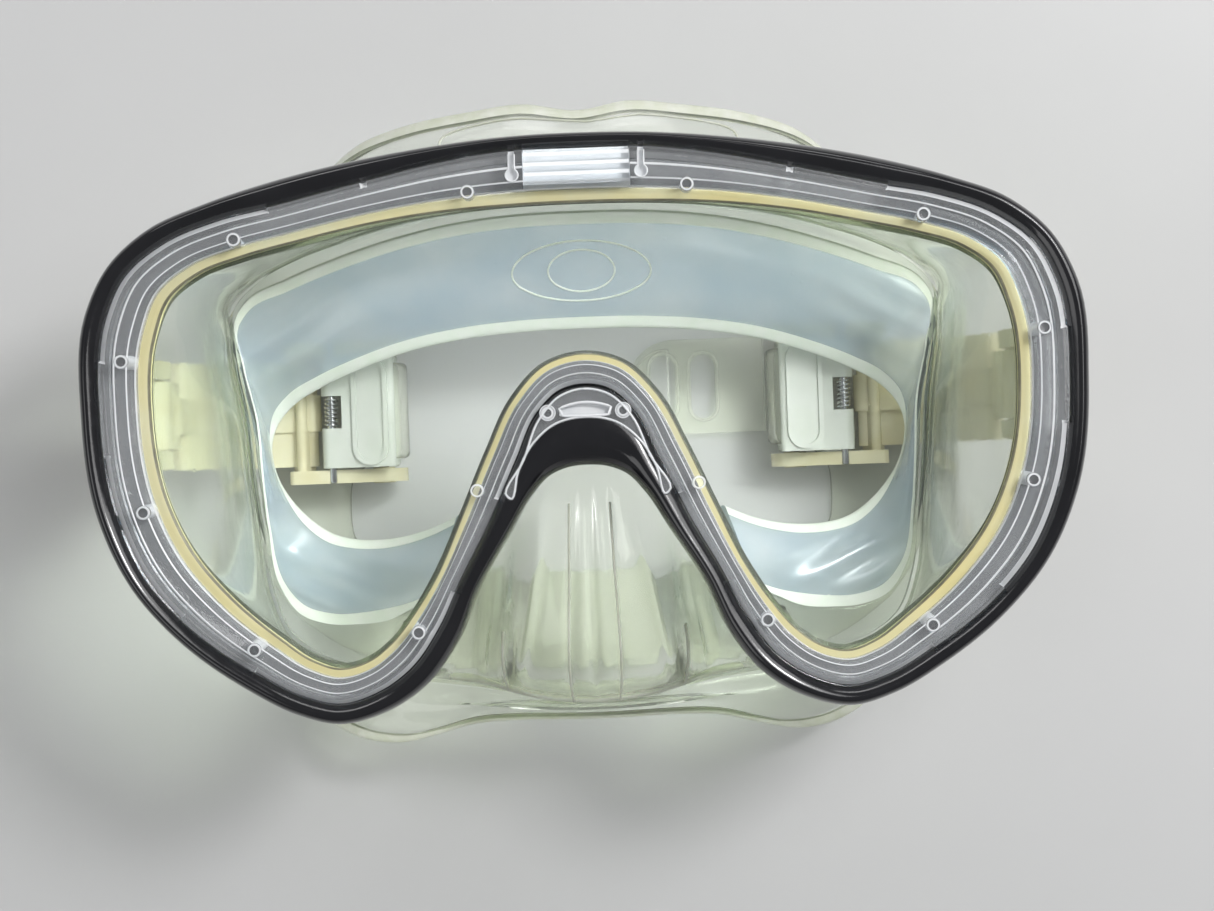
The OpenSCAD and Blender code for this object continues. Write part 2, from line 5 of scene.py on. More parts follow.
import bmesh
import bpy
import numpy as np
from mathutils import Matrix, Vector


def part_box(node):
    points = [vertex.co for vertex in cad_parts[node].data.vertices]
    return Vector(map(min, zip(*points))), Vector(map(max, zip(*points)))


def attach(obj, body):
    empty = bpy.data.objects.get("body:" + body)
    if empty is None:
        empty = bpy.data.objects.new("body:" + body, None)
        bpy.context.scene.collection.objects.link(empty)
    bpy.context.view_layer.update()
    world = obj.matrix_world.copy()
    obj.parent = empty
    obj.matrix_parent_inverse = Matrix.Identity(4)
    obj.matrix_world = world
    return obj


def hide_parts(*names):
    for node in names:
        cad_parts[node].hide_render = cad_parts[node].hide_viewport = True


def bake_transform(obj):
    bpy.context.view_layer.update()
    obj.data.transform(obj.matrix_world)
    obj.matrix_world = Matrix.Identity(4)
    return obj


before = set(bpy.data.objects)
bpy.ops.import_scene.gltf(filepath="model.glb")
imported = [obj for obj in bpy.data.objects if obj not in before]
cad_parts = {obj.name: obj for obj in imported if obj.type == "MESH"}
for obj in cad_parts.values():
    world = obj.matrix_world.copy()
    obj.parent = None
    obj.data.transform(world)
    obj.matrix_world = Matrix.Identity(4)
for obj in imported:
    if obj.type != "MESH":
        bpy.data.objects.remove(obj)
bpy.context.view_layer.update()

# ---- Outlines: right half seen from the front, from the brow clockwise to the nose arch
FRAME_HALF = [
    (0, 51.5), (12.1, 51.2), (24.5, 50.1), (37.8, 48.2), (54, 44.8), (65.6, 41.4), (76, 37.1), (83, 31),
    (87.4, 22.4), (88.7, 5), (86.4, -13.4), (80.7, -26.2), (72.6, -35.7), (61.3, -44.3), (52.5, -49.1),
    (45.4, -51), (36.3, -48.9), (29.8, -44.8), (23.8, -37.1), (19.6, -27.7), (14, -18.6), (9.6, -11.6),
    (6.9, -8.8), (3.7, -7.4), (0, -7),
]
WINDOW_HALF = [
    (0, 48.7), (12, 48.4), (24.2, 46.7), (37.3, 43.9), (52.9, 40.3), (63.3, 38.1), (73.1, 34.3), (79.8, 29),
    (83.5, 21.5), (84.8, 5), (82.6, -13), (77.6, -24.6), (70.2, -33.2), (59.4, -41.2), (51, -45.8),
    (45, -47.3), (37.4, -45.2), (32.2, -41.6), (27, -34.6), (22.9, -26.3), (17.8, -17), (12.4, -5.5),
    (8.4, 2.6), (4.3, 6.3), (0, 7.2),
]
GLASS_HALF = [
    (0, 39.3), (12, 39.1), (23.6, 38.5), (36, 37), (50, 34.2), (59.2, 32), (67.4, 29.2), (72.6, 25.2),
    (75.4, 18.5), (76.6, 4), (74.5, -9.8), (70.1, -19.8), (63.7, -28), (55.3, -35.6), (49.5, -39.8),
    (45, -41.3), (40, -40.2), (35.6, -37), (31.4, -31.9), (27.5, -26), (22.6, -15.5), (17.6, -4.2),
    (12.8, 5), (6.8, 11), (0, 12.7),
]
# Where the wall of the skirt ends and the seals begin, with heights
ROOT_HALF = [
    (0, 44.5, 44), (12, 44.3, 43.5), (23, 43.2, 42), (34.5, 41.4, 39), (46, 38.6, 34.5), (56, 35.4, 30),
    (64, 31.6, 26.5), (69.5, 26.5, 24.5), (69.6, 17, 25), (67.5, 4, 26), (66.6, -9, 24.5), (66, -20, 20),
    (65, -31, 17), (61.5, -39.5, 17), (56, -43.5, 18.5), (50, -45.6, 19.5), (43.5, -46.9, 20.5),
    (37.5, -47.4, 21.8), (32, -47.8, 23), (27, -48.4, 24), (22, -49.2, 25.2), (17, -50.4, 26.4),
    (11.5, -51.3, 27.4), (6, -51.7, 27.9), (0, -51.8, 28),
]
OUTER_EDGE_HALF = [
    (0, 59.1, 38), (10.2, 60.6, 37.5), (20.5, 59.7, 36), (31.5, 58.3, 33), (41.5, 55.8, 28),
    (50.5, 50.5, 20), (61.5, 43, 9), (71.5, 33, 0.9), (74.4, 20.5, 17), (72.2, 5, 19.6), (72, -10.5, 16),
    (73, -25, 1.4), (71, -35, 0.9), (68, -41.5, 2.5), (64.5, -46.5, 5), (60, -51, 8.5), (55, -54.2, 12),
    (50, -57.2, 15.5), (44.5, -59, 18.5), (38.5, -59.5, 20.5), (31.5, -58.2, 22.5), (23.5, -56.2, 24),
    (15, -55.7, 25), (7.5, -55.8, 25.5), (0, -55.9, 25.8),
]
SEAL_TURN_HALF = [
    (0, 39.4, 38), (11.5, 39.2, 37.6), (22.5, 38.3, 36.5), (34, 36.3, 34), (46, 33.2, 30.5),
    (56.5, 29.6, 28), (64.2, 26.4, 26.6), (66.6, 23.6, 26.2), (65.6, 14, 26.2), (63.4, 4, 26.6),
    (62.8, -7, 25.4), (62.4, -18, 22), (61, -28, 19.6), (57, -33.6, 19.6), (51.5, -35.4, 20.5),
    (46, -35.4, 21.5), (40, -34.6, 23), (35, -33.2, 25), (31, -31.4, 27),
]
OPENING_HALF = [
    (0, 19.3, 30), (11, 19.1, 29.8), (22, 18.3, 29), (33, 16.5, 27.5), (43.5, 13.4, 25), (51.5, 10.2, 22.5),
    (57.2, 7, 20.5), (60.4, 3.4, 19.5), (61.6, -0.4, 19), (61.5, -4, 19), (60.4, -8.2, 18.5),
    (58.4, -12.2, 17.5), (55.4, -16, 17), (51, -19.2, 17.5), (46, -20.5, 18.5), (41, -20.7, 19.5),
    (35, -19.8, 21), (30, -18.2, 23), (26, -16.4, 25),
]
# Rows of the nose pocket between the nose arch and the lip, from the finger wells to the ridge
NOSE_FIRST = 17
POCKET_ROWS = [
    [(35.4, -40.5, 49), (30.4, -36.5, 48), (26, -31, 46), (21, -23.5, 46), (16.8, -17, 49.6),
     (12.6, -12, 52.8), (7, -9.5, 53.8), (0, -9, 54)],
    [(36, -44, 39.5), (31, -42, 38), (26, -38.5, 37), (21.6, -35, 39), (18.6, -32, 44), (14.6, -29, 51),
     (8, -27, 54.8), (0, -26, 55.6)],
    [(36.8, -47, 32), (32, -46.5, 31), (27.4, -45, 30.5), (23.2, -43.5, 33), (20.4, -42.5, 39),
     (16.2, -42, 46), (9, -42, 51.6), (0, -42, 53.4)],
    [(37.2, -46.8, 26.5), (32.2, -47, 26.6), (27.8, -47.3, 27), (23.6, -47.8, 28.6), (20, -48.2, 32.5),
     (15.4, -49.3, 37.5), (8.4, -50.5, 42), (0, -51, 43.6)],
]
CRESCENT_HALF = [
    (0, 6.6), (4.5, 5.4), (8.2, 1.6), (11.3, -5.6), (14.2, -12.4), (13.7, -12.7), (11.8, -7.8), (9.2, -3.2),
    (5.2, 0.1), (0, 1.1),
]
PIN_SPOTS = [
    (19.2, 41.4), (60.3, 34.6), (80.7, 14), (77.8, -12.5), (59.3, -37.2), (30.5, -35.2), (19.4, -10.8),
]


# ---- Curves
def mirror(points):
    points = np.array(points, float)
    points[:, 0] *= -1
    return points


def loop(half):
    """A full loop from its right half."""
    return np.vstack([half, mirror(half)[-2:0:-1]])


def arch(half):
    """An open outline from the left half's end to the right half's end."""
    return np.vstack([mirror(half)[:0:-1], half])


def length_of(v):
    return np.linalg.norm(v, axis=-1, keepdims=True)


def curve_at(p, params, closed=True):
    """Points of the smooth curve through p, at places given in control points from its start."""
    p = np.array(p, float)
    if closed:
        before, after = np.roll(p, 1, 0), np.roll(p, -1, 0)
    else:
        before = np.concatenate([2 * p[:1] - p[1:2], p[:-1]])
        after = np.concatenate([p[1:], 2 * p[-1:] - p[-2:-1]])
    d0, d1 = length_of(p - before), length_of(after - p)
    m = ((p - before) / d0 * d1 + (after - p) / d1 * d0) / (d0 + d1)
    span = length_of(np.roll(p, -1, 0) - p)
    last = len(p) if closed else len(p) - 1
    i = np.minimum(np.floor(params).astype(int), last - 1)
    j = (i + 1) % len(p)
    t = (params - i).reshape(-1, *[1] * (p.ndim - 1))
    t2, t3 = t * t, t * t * t
    out = (2 * t3 - 3 * t2 + 1) * p[i] + (t3 - 2 * t2 + t) * span[i] * m[i]
    return out + (3 * t2 - 2 * t3) * p[j] + (t3 - t2) * span[i] * m[j]


def curve(p, n, closed=True):
    """A smooth curve through points, along the first axis, with n steps between two of them."""
    last = len(p) if closed else len(p) - 1
    count = last * n + (0 if closed else 1)
    return curve_at(p, np.arange(count) / n, closed)


STEPS = 8  # mesh steps between two control points of an outline
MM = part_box("main_frame")[1].x / curve(loop(FRAME_HALF), STEPS)[:, 0].max()
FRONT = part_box("main_frame")[1].z / MM
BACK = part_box("main_frame")[0].z / MM
RING_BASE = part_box("lens_ring")[0].z / MM
GLASS_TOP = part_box("lens")[1].z / MM
GLASS_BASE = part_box("lens")[0].z / MM
CHANNEL_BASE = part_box("skirt_channel")[0].z / MM


def middle_of(node):
    """Middle of a CAD node's box, in millimetres."""
    return [sum(corner[k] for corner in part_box(node)) / 2 / MM for k in range(3)]


HINGE_X, BUCKLE_Y, HINGE_Z = middle_of("hinge_pin_right")
ROLLER_X, _, ROLLER_Z = middle_of("roller_axle_right")
LEVER_X, _, LEVER_Z = middle_of("lever_pin_right")
PARAMS = np.arange(2 * (len(FRAME_HALF) - 1) * STEPS) / STEPS
FRAME_LOOP, WINDOW_LOOP, GLASS_LOOP = loop(FRAME_HALF), loop(WINDOW_HALF), loop(GLASS_HALF)


# ---- Node materials
class Nodes:
    """A material's node tree, with short calls for what these materials share."""

    def __init__(self, name):
        self.mat = bpy.data.materials.new(name)
        self.mat.use_nodes = True
        self.tree = self.mat.node_tree
        self.shader = self.tree.nodes["Principled BSDF"]
        self.out = self.tree.nodes["Material Output"]
        self.place = self.tree.nodes.new("ShaderNodeTexCoord").outputs["Object"]

    def add(self, kind, *sources, **settings):
        node = self.tree.nodes.new("ShaderNode" + kind)
        for key, value in settings.items():
            if hasattr(node, key):
                setattr(node, key, value)
            else:
                node.inputs[key.replace("_", " ").title()].default_value = value
        for index, source in enumerate(sources):
            if source is not None:
                self.tree.links.new(source, node.inputs[index])
        return node

    def stretched(self, x, y, z):
        node = self.add("Mapping", self.place)
        node.inputs["Scale"].default_value = (x, y, z)
        return node.outputs[0]

    def noise(self, scale, detail=3.0, roughness=0.55, place=None):
        node = self.add("TexNoise", place or self.place, scale=scale, detail=detail)
        node.inputs["Roughness"].default_value = roughness
        return node.outputs["Fac"]

    def speckle(self, scale, size):
        """Small round specks: 1 inside a speck and 0 outside."""
        node = self.add("TexVoronoi", self.place, scale=scale)
        return self.ramp(node.outputs["Distance"], (0.0, (1, 1, 1)), (size, (0, 0, 0)))

    def ramp(self, factor, *stops):
        node = self.add("ValToRGB", factor)
        elements = node.color_ramp.elements
        while len(elements) < len(stops):
            elements.new(0.5)
        for element, (at, colour) in zip(elements, stops):
            element.position = at
            element.color = (*colour, 1)
        return node.outputs["Color"]

    def bump(self, *layers):
        """Bumps on top of each other, each given as (height, strength, distance in metres)."""
        normal = None
        for height, strength, distance in layers:
            node = self.add("Bump")
            node.inputs["Strength"].default_value = strength
            node.inputs["Distance"].default_value = distance
            self.tree.links.new(height, node.inputs["Height"])
            if normal is not None:
                self.tree.links.new(normal, node.inputs["Normal"])
            normal = node.outputs["Normal"]
        self.tree.links.new(normal, self.shader.inputs["Normal"])

    def set(self, **values):
        for key, value in values.items():
            self.shader.inputs[key.replace("_", " ").title().replace("Ior", "IOR")].default_value = value

    def link(self, socket, name):
        self.tree.links.new(socket, self.shader.inputs[name])

    def light_through(self, tint):
        """Lets lamps shine through, tinted, where a plain glass would cast a solid shadow."""
        clear = self.add("BsdfTransparent")
        clear.inputs["Color"].default_value = (*tint, 1)
        mix = self.add("MixShader", self.add("LightPath").outputs["Is Shadow Ray"])
        self.tree.links.new(self.shader.outputs[0], mix.inputs[1])
        self.tree.links.new(clear.outputs[0], mix.inputs[2])
        self.tree.links.new(mix.outputs[0], self.out.inputs["Surface"])

    def absorb(self, colour, density):
        volume = self.add("VolumeAbsorption")
        volume.inputs["Color"].default_value = (*colour, 1)
        volume.inputs["Density"].default_value = density
        self.tree.links.new(volume.outputs[0], self.out.inputs["Volume"])


def black_frame():
    n = Nodes("black_frame")
    n.link(n.ramp(n.noise(60, 4), (0.3, (0.004, 0.004, 0.005)), (0.75, (0.011, 0.011, 0.013))), "Base Color")
    wear = n.noise(220, 5, 0.6)
    n.link(n.ramp(wear, (0.35, (0.1, 0.1, 0.1)), (0.75, (0.22, 0.22, 0.22))), "Roughness")
    n.set(specular_ior_level=0.7)
    scratches = n.noise(900, 2, 0.5, n.stretched(1, 0.06, 1))
    n.bump((wear, 0.06, 0.0004), (scratches, 0.03, 0.0002))
    return n.mat


def clear_ring():
    n = Nodes("clear_ring")
    n.link(n.ramp(n.noise(90, 3), (0.3, (0.90, 0.92, 0.93)), (0.7, (0.98, 0.99, 1.0))), "Base Color")
    n.set(roughness=0.04, transmission_weight=0.9, ior=1.5)
    scuffs = n.noise(500, 4, 0.65)
    n.bump((scuffs, 0.08, 0.0003), (n.speckle(420, 0.2), 0.06, 0.0002))
    n.absorb((0.86, 0.93, 0.97), 12.0)
    n.light_through((0.9, 0.92, 0.93))
    return n.mat


def edge_highlight_and_shade(name, low, high, transmission, roughness=0.25, ior=1.5):
    """Edges and cut faces of a clear moulding, coloured light: partly the frosting that scatters light,
    partly a painted highlight; given dark colours, a painted shade line.
    """
    n = Nodes(name)
    n.link(n.ramp(n.noise(300, 4), (0.3, low), (0.7, high)), "Base Color")
    n.set(roughness=roughness, transmission_weight=transmission, ior=ior)
    n.bump((n.noise(900, 3, 0.6), 0.12, 0.0002))
    return n.mat


def dark_bed():
    n = Nodes("dark_bed")
    n.link(n.ramp(n.noise(80, 4), (0.3, (0.02, 0.02, 0.022)), (0.75, (0.06, 0.06, 0.058))), "Base Color")
    n.set(roughness=0.3)
    n.bump((n.noise(260, 4, 0.6), 0.15, 0.0004))
    return n.mat


def tempered_glass():
    n = Nodes("tempered_glass")
    n.link(n.ramp(n.noise(35, 3), (0.3, (0.97, 0.985, 0.975)), (0.7, (0.99, 1.0, 0.995))), "Base Color")
    n.set(roughness=0.0, transmission_weight=1.0, ior=1.5)
    n.bump((n.noise(14, 2), 0.02, 0.0008), (n.speckle(150, 0.03), 0.1, 0.0002))
    n.absorb((0.55, 0.88, 0.72), 5.0)
    n.light_through((0.95, 0.97, 0.96))
    return n.mat


def silicone(name, tint_low, tint_high, roughness, absorb_colour, density, grain=0.08, clear=0.9):
    n = Nodes(name)
    n.link(n.ramp(n.noise(70, 4), (0.3, tint_low), (0.7, tint_high)), "Base Color")
    n.set(roughness=roughness, transmission_weight=clear, ior=1.41)
    n.bump((n.noise(260, 4, 0.6), grain, 0.0005), (n.speckle(380, 0.14), 0.06, 0.0003))
    n.absorb(absorb_colour, density)
    n.light_through((0.84, 0.86, 0.82))
    return n.mat


def frosted_silicone():
    n = Nodes("frosted_silicone")
    cloud = n.noise(55, 5, 0.6)
    n.link(n.ramp(cloud, (0.3, (0.66, 0.77, 0.87)), (0.72, (0.84, 0.90, 0.95))), "Base Color")
    n.set(roughness=0.2, transmission_weight=0.7, ior=1.41, specular_ior_level=0.8)
    fine, specks, waves = n.noise(600, 4, 0.6), n.speckle(300, 0.12), n.noise(40, 2)
    n.bump((fine, 0.1, 0.0003), (specks, 0.12, 0.0003), (waves, 0.15, 0.001))
    n.light_through((0.4, 0.43, 0.45))
    return n.mat


def aged_silicone():
    n = Nodes("aged_silicone")
    tones = (0.25, (0.78, 0.68, 0.30)), (0.5, (0.80, 0.74, 0.42)), (0.8, (0.80, 0.80, 0.58))
    n.link(n.ramp(n.noise(40, 5, 0.6), *tones), "Base Color")
    n.set(roughness=0.4, transmission_weight=0.2, ior=1.41)
    n.bump((n.noise(300, 4, 0.6), 0.12, 0.0004), (n.speckle(500, 0.2), 0.1, 0.0003))
    return n.mat


def moulded_plastic(name, low, high, transmission, roughness):
    n = Nodes(name)
    n.link(n.ramp(n.noise(120, 4), (0.3, low), (0.7, high)), "Base Color")
    n.set(roughness=roughness, transmission_weight=transmission, ior=1.49)
    n.bump((n.noise(420, 4, 0.6), 0.1, 0.0003), (n.noise(60, 2), 0.08, 0.0008))
    return n.mat


def pin_steel():
    n = Nodes("pin_steel")
    n.link(n.ramp(n.noise(300, 3), (0.3, (0.5, 0.5, 0.52)), (0.7, (0.7, 0.71, 0.73))), "Base Color")
    n.set(metallic=1.0, roughness=0.22)
    n.bump((n.noise(1200, 2, 0.5, n.stretched(1, 0.05, 1)), 0.1, 0.0002))
    return n.mat


def pale_floor():
    n = Nodes("pale_floor")
    n.link(n.ramp(n.noise(9, 4), (0.3, (0.57, 0.57, 0.565)), (0.7, (0.60, 0.60, 0.595))), "Base Color")
    n.set(roughness=0.6)
    return n.mat


MATERIALS = {
    "black_frame": black_frame(),
    "clear_ring": clear_ring(),
    # painted highlight: near white on the bevels, beads, cut walls, pin chamfers and raised lines of the
    # clear parts, and on the buckle tongues' beads
    "ring_highlight": edge_highlight_and_shade("ring_highlight", (0.88, 0.90, 0.92), (0.98, 0.99, 1.0), 0.25),
    "dark_bed": dark_bed(),
    "tempered_glass": tempered_glass(),
    "aged_silicone": aged_silicone(),
    # painted shade: a dark olive line along the inner edge of the gasket band
    "gasket_shade_line": edge_highlight_and_shade("gasket_shade_line", (0.16, 0.15, 0.10), (0.30, 0.28, 0.18), 0.1, 0.35, 1.41),
    "clear_silicone": silicone(
        "clear_silicone", (0.93, 0.95, 0.91), (0.98, 0.99, 0.97), 0.08, (0.72, 0.78, 0.58), 85.0, 0.06, 0.93
    ),
    # painted highlight: a light yellowish white on the skirt's flange edge, the nose pocket's lines and rim,
    # and the flange panel
    "silicone_highlight": edge_highlight_and_shade("silicone_highlight", (0.78, 0.81, 0.66), (0.93, 0.94, 0.86), 0.45, 0.3, 1.41),
    "frosted_silicone": frosted_silicone(),
    # painted highlight: near white on the face seal's rim and turn and on the forehead ovals
    "seal_highlight": edge_highlight_and_shade("seal_highlight", (0.90, 0.96, 0.86), (0.98, 1.0, 0.95), 0.2, 0.25, 1.41),
    "buckle_plastic": moulded_plastic("buckle_plastic", (0.84, 0.77, 0.50), (0.94, 0.90, 0.68), 0.3, 0.18),
    "lever_plastic": moulded_plastic("lever_plastic", (0.84, 0.88, 0.80), (0.95, 0.97, 0.92), 0.4, 0.2),
    "strap_silicone": silicone(
        "strap_silicone", (0.92, 0.93, 0.88), (0.97, 0.97, 0.94), 0.13, (0.76, 0.78, 0.6), 90.0, 0.1, 0.82
    ),
    "pin_steel": pin_steel(),
}


# ---- Mesh helpers
def mesh_object(name, bm, materials):
    bmesh.ops.recalc_face_normals(bm, faces=bm.faces)
    mesh = bpy.data.meshes.new(name)
    bm.to_mesh(mesh)
    bm.free()
    piece = bpy.data.objects.new(name, mesh)
    bpy.context.scene.collection.objects.link(piece)
    for material in materials:
        mesh.materials.append(material)
    return piece


def finish_mesh(name, bm, slot, body=None, replaces=(), sharp=35, extra=()):
    """Makes a piece of a mesh: its material slot, the body it rides on, the CAD nodes it replaces."""
    piece = mesh_object(name, bm, [MATERIALS[each] for each in (slot, *extra)])
    smooth(piece, sharp)
    if body:
        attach(piece, body)
    if replaces:
        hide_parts(*replaces)
    return piece


def smooth(piece, sharp):
    piece.data.shade_smooth()
    piece.data.set_sharp_from_angle(angle=math.radians(sharp))


def grid_mesh(bm, rows, wrap_rows=True, wrap_cols=True, caps=False, material_of=None):
    """Adds a grid of points, rows by columns, in millimetres, as quads."""
    count, width = rows.shape[:2]
    verts = [[bm.verts.new(p * MM) for p in row] for row in rows]
    for r in range(count if wrap_rows else count - 1):
        for c in range(width if wrap_cols else width - 1):
            r2, c2 = (r + 1) % count, (c + 1) % width
            face = bm.faces.new((verts[r][c], verts[r][c2], verts[r2][c2], verts[r2][c]))
            if material_of:
                face.material_index = material_of(r, c)
    if caps:
        bm.faces.new([row[0] for row in verts])
        bm.faces.new([row[-1] for row in reversed(verts)])


def rounded(rows, radii, steps=4):
    """Rounds each corner of a closed section. rows is corners by columns by 3, radii one per corner."""
    out = []
    count = len(rows)
    for i in range(count):
        here, before, after = rows[i], rows[i - 1], rows[(i + 1) % count]
        r = radii[i]
        if r <= 0:
            out.append(here)
            continue
        a, b = before - here, after - here
        start = here + a * np.minimum(r / length_of(a), 0.48)
        end = here + b * np.minimum(r / length_of(b), 0.48)
        for t in np.linspace(0, 1, steps + 1):
            out.append((1 - t) ** 2 * start + 2 * t * (1 - t) * here + t**2 * end)
    return np.array(out)


def led_section(section, params):
    """Rows of a section given as (from loop, to loop, share, height), led round the mask."""
    rows = []
    for near, far, share, height in section:
        flat = curve_at(near + (far - near) * share, params)
        heights = np.broadcast_to(np.asarray(height, float), len(flat))
        rows.append(np.column_stack([flat, heights]))
    return np.array(rows)


def prism(bm, outline, low, high, axis="z", shades=None):
    """A straight prism on an outline, whose plane is the one across the axis, X or Y first."""
    places = [*("xyz".index(other) for other in "xyz" if other != axis), "xyz".index(axis)]
    rings = []
    for level in (low, high):
        points = np.zeros((len(outline), 3))
        points[:, places[:2]] = outline
        points[:, places[2]] = level
        rings.append([bm.verts.new(p * MM) for p in points])
    count = len(outline)
    for i in range(count):
        j = (i + 1) % count
        face = bm.faces.new((rings[0][i], rings[0][j], rings[1][j], rings[1][i]))
        if shades:
            face.material_index = shades[i]
    bm.faces.new(list(reversed(rings[0])))
    bm.faces.new(rings[1])


def lathe(bm, profile, centre, axis="z", sides=32, shades=None):
    """A turned solid from (radius, height) points, both ends on the axis."""
    places = {"y": (2, 0, 1), "z": (0, 1, 2)}[axis]
    rings = []
    for radius, height in profile:
        points = np.zeros((sides if radius else 1, 3))
        if radius:
            points[:, places[:2]] = circle(0, 0, radius, sides)
        points[:, places[2]] = height
        rings.append([bm.verts.new((p + np.array(centre)) * MM) for p in points])
    for k, (a, b) in enumerate(zip(rings, rings[1:])):
        for i in range(sides):
            j = (i + 1) % sides
            corners = [a[i % len(a)], a[j % len(a)], b[j % len(b)], b[i % len(b)]]
            face = bm.faces.new(list(dict.fromkeys(corners)))
            if shades:
                face.material_index = shades[k]


def tube(bm, path, radius, sides=8, closed=False):
    """A round tube along a path of points."""
    path = np.array(path, float)
    ahead = np.roll(path, -1, 0) - np.roll(path, 1, 0)
    if not closed:
        ahead[0], ahead[-1] = path[1] - path[0], path[-1] - path[-2]
    ahead /= length_of(ahead)
    side = np.cross(ahead[0], (0.31, 0.17, 0.94))
    rows = []
    for point, tangent in zip(path, ahead):
        side = side - tangent * (side @ tangent)
        side /= np.linalg.norm(side)
        up = np.cross(tangent, side)
        angles = np.linspace(0, 2 * math.pi, sides, endpoint=False)[:, None]
        rows.append(point + radius * (np.cos(angles) * side + np.sin(angles) * up))
    grid_mesh(bm, np.array(rows), wrap_rows=closed, wrap_cols=True)
    if not closed:
        bm.verts.ensure_lookup_table()
        total = len(rows) * sides
        verts = bm.verts[len(bm.verts) - total :]
        bm.faces.new(verts[:sides])
        bm.faces.new(list(reversed(verts[-sides:])))


def circle(x, y, r, count=32, start=0.0, end=360.0):
    full = end - start >= 360
    angles = np.radians(np.linspace(start, end, count, endpoint=not full))
    return np.stack([x + r * np.cos(angles), y + r * np.sin(angles)], 1)


def apply_modifiers(piece):
    bpy.context.view_layer.update()
    evaluated = piece.evaluated_get(bpy.context.evaluated_depsgraph_get())
    mesh = bpy.data.meshes.new_from_object(evaluated)
    old = piece.data
    piece.modifiers.clear()
    piece.data = mesh
    bpy.data.meshes.remove(old)


def combine(piece, other_bm, operation, sharp=35, shade=0):
    """Cuts or joins a piece with another closed mesh, whose faces take the piece's material shade."""
    for face in other_bm.faces:
        face.material_index = shade
    tool = mesh_object("scratch", other_bm, piece.data.materials)
    modifier = piece.modifiers.new("combine", "BOOLEAN")
    modifier.operation = operation
    modifier.object = tool
    modifier.solver = "MANIFOLD"
    apply_modifiers(piece)
    bpy.data.objects.remove(tool)
    smooth(piece, sharp)


def bevel(piece, width, segments=2, angle=35):
    modifier = piece.modifiers.new("bevel", "BEVEL")
    modifier.width = width * MM
    modifier.segments = segments
    modifier.limit_method = "ANGLE"
    modifier.angle_limit = math.radians(angle)
    modifier.harden_normals = True


# ---- Front assembly
CRESCENT = curve(loop(CRESCENT_HALF), 6)
CLEAR = 5  # how far a cut runs past the front
KEYHOLE_X, KEYHOLE_TOP, KEYHOLE_NECK = 11.3, 49.6, 0.55
PIN_R = 1.2
CLIP_W = 9.25  # half the width of the clip at the brow


def frame_shell():
    """The black frame: a crown across its front, a straight outside and a shelf under the skirt's channel."""
    crown = [(0.0, 3.8), (0.05, 2.4), (0.13, 1.2), (0.24, 0.4), (0.36, 0.06), (0.46, 0.0)]
    crown += [(0.58, 0.12), (0.7, 0.38), (0.84, 0.84), (0.97, 1.4)]
    band, shelf, shelf_z = (FRAME_LOOP, WINDOW_LOOP), (WINDOW_LOOP, GLASS_LOOP), CHANNEL_BASE - 0.05
    section = [(*band, 0.3, BACK), (*band, 0.0, BACK + 1.8)]
    section += [(*band, share, FRONT - drop) for share, drop in crown]
    section += [(*band, 0.97, shelf_z), (*shelf, 0.6, shelf_z), (*shelf, 0.6, BACK)]
    radii = [0.8, 1.2] + [0.4] * len(crown) + [0.0, 0.4, 0.4]
    rows = rounded(led_section(section, PARAMS), radii, 3)
    bm = bmesh.new()
    grid_mesh(bm, rows)
    piece = finish_mesh("frame_shell", bm, "black_frame", sharp=50)
    cut = bmesh.new()
    prism(cut, CRESCENT * 1.004, FRONT - 2.3, FRONT + CLEAR)
    combine(piece, cut, "DIFFERENCE", 40)
    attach(piece, "mask")
    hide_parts("main_frame")


# Where the ring's outer chamfer is filled in over a snap tab, in control points from the brow
TABS = [(0.3, 2.97), (3.03, 4.15), (8.45, 9.42), (11.75, 13.0), (18.75, 20.4)]


def tab_columns():
    """Places round the ring, close together at the ends of the tabs, and how far each is filled in."""
    last = len(WINDOW_LOOP)
    spans = TABS + [(last - b, last - a) for a, b in TABS]
    step = 0.012
    ends = [e + d for span in spans for e in span for d in (-step, step)]
    params = np.unique(np.concatenate([PARAMS, ends]))
    filled = np.zeros(len(params))
    for a, b in spans:
        filled[(params > a) & (params < b)] = 1
    return params, filled


def keyhole(x):
    """Outline of a slot that runs in from the ring's edge to a round end."""
    neck_y = 45.0
    round_end = circle(x, 44, 1.1, 20, 120, 420)
    left = [(x - KEYHOLE_NECK, KEYHOLE_TOP), (x - 0.5, neck_y)]
    right = [(x + 0.5, neck_y), (x + KEYHOLE_NECK, KEYHOLE_TOP)]
    return np.vstack([left, round_end[round_end[:, 1] < neck_y], right])


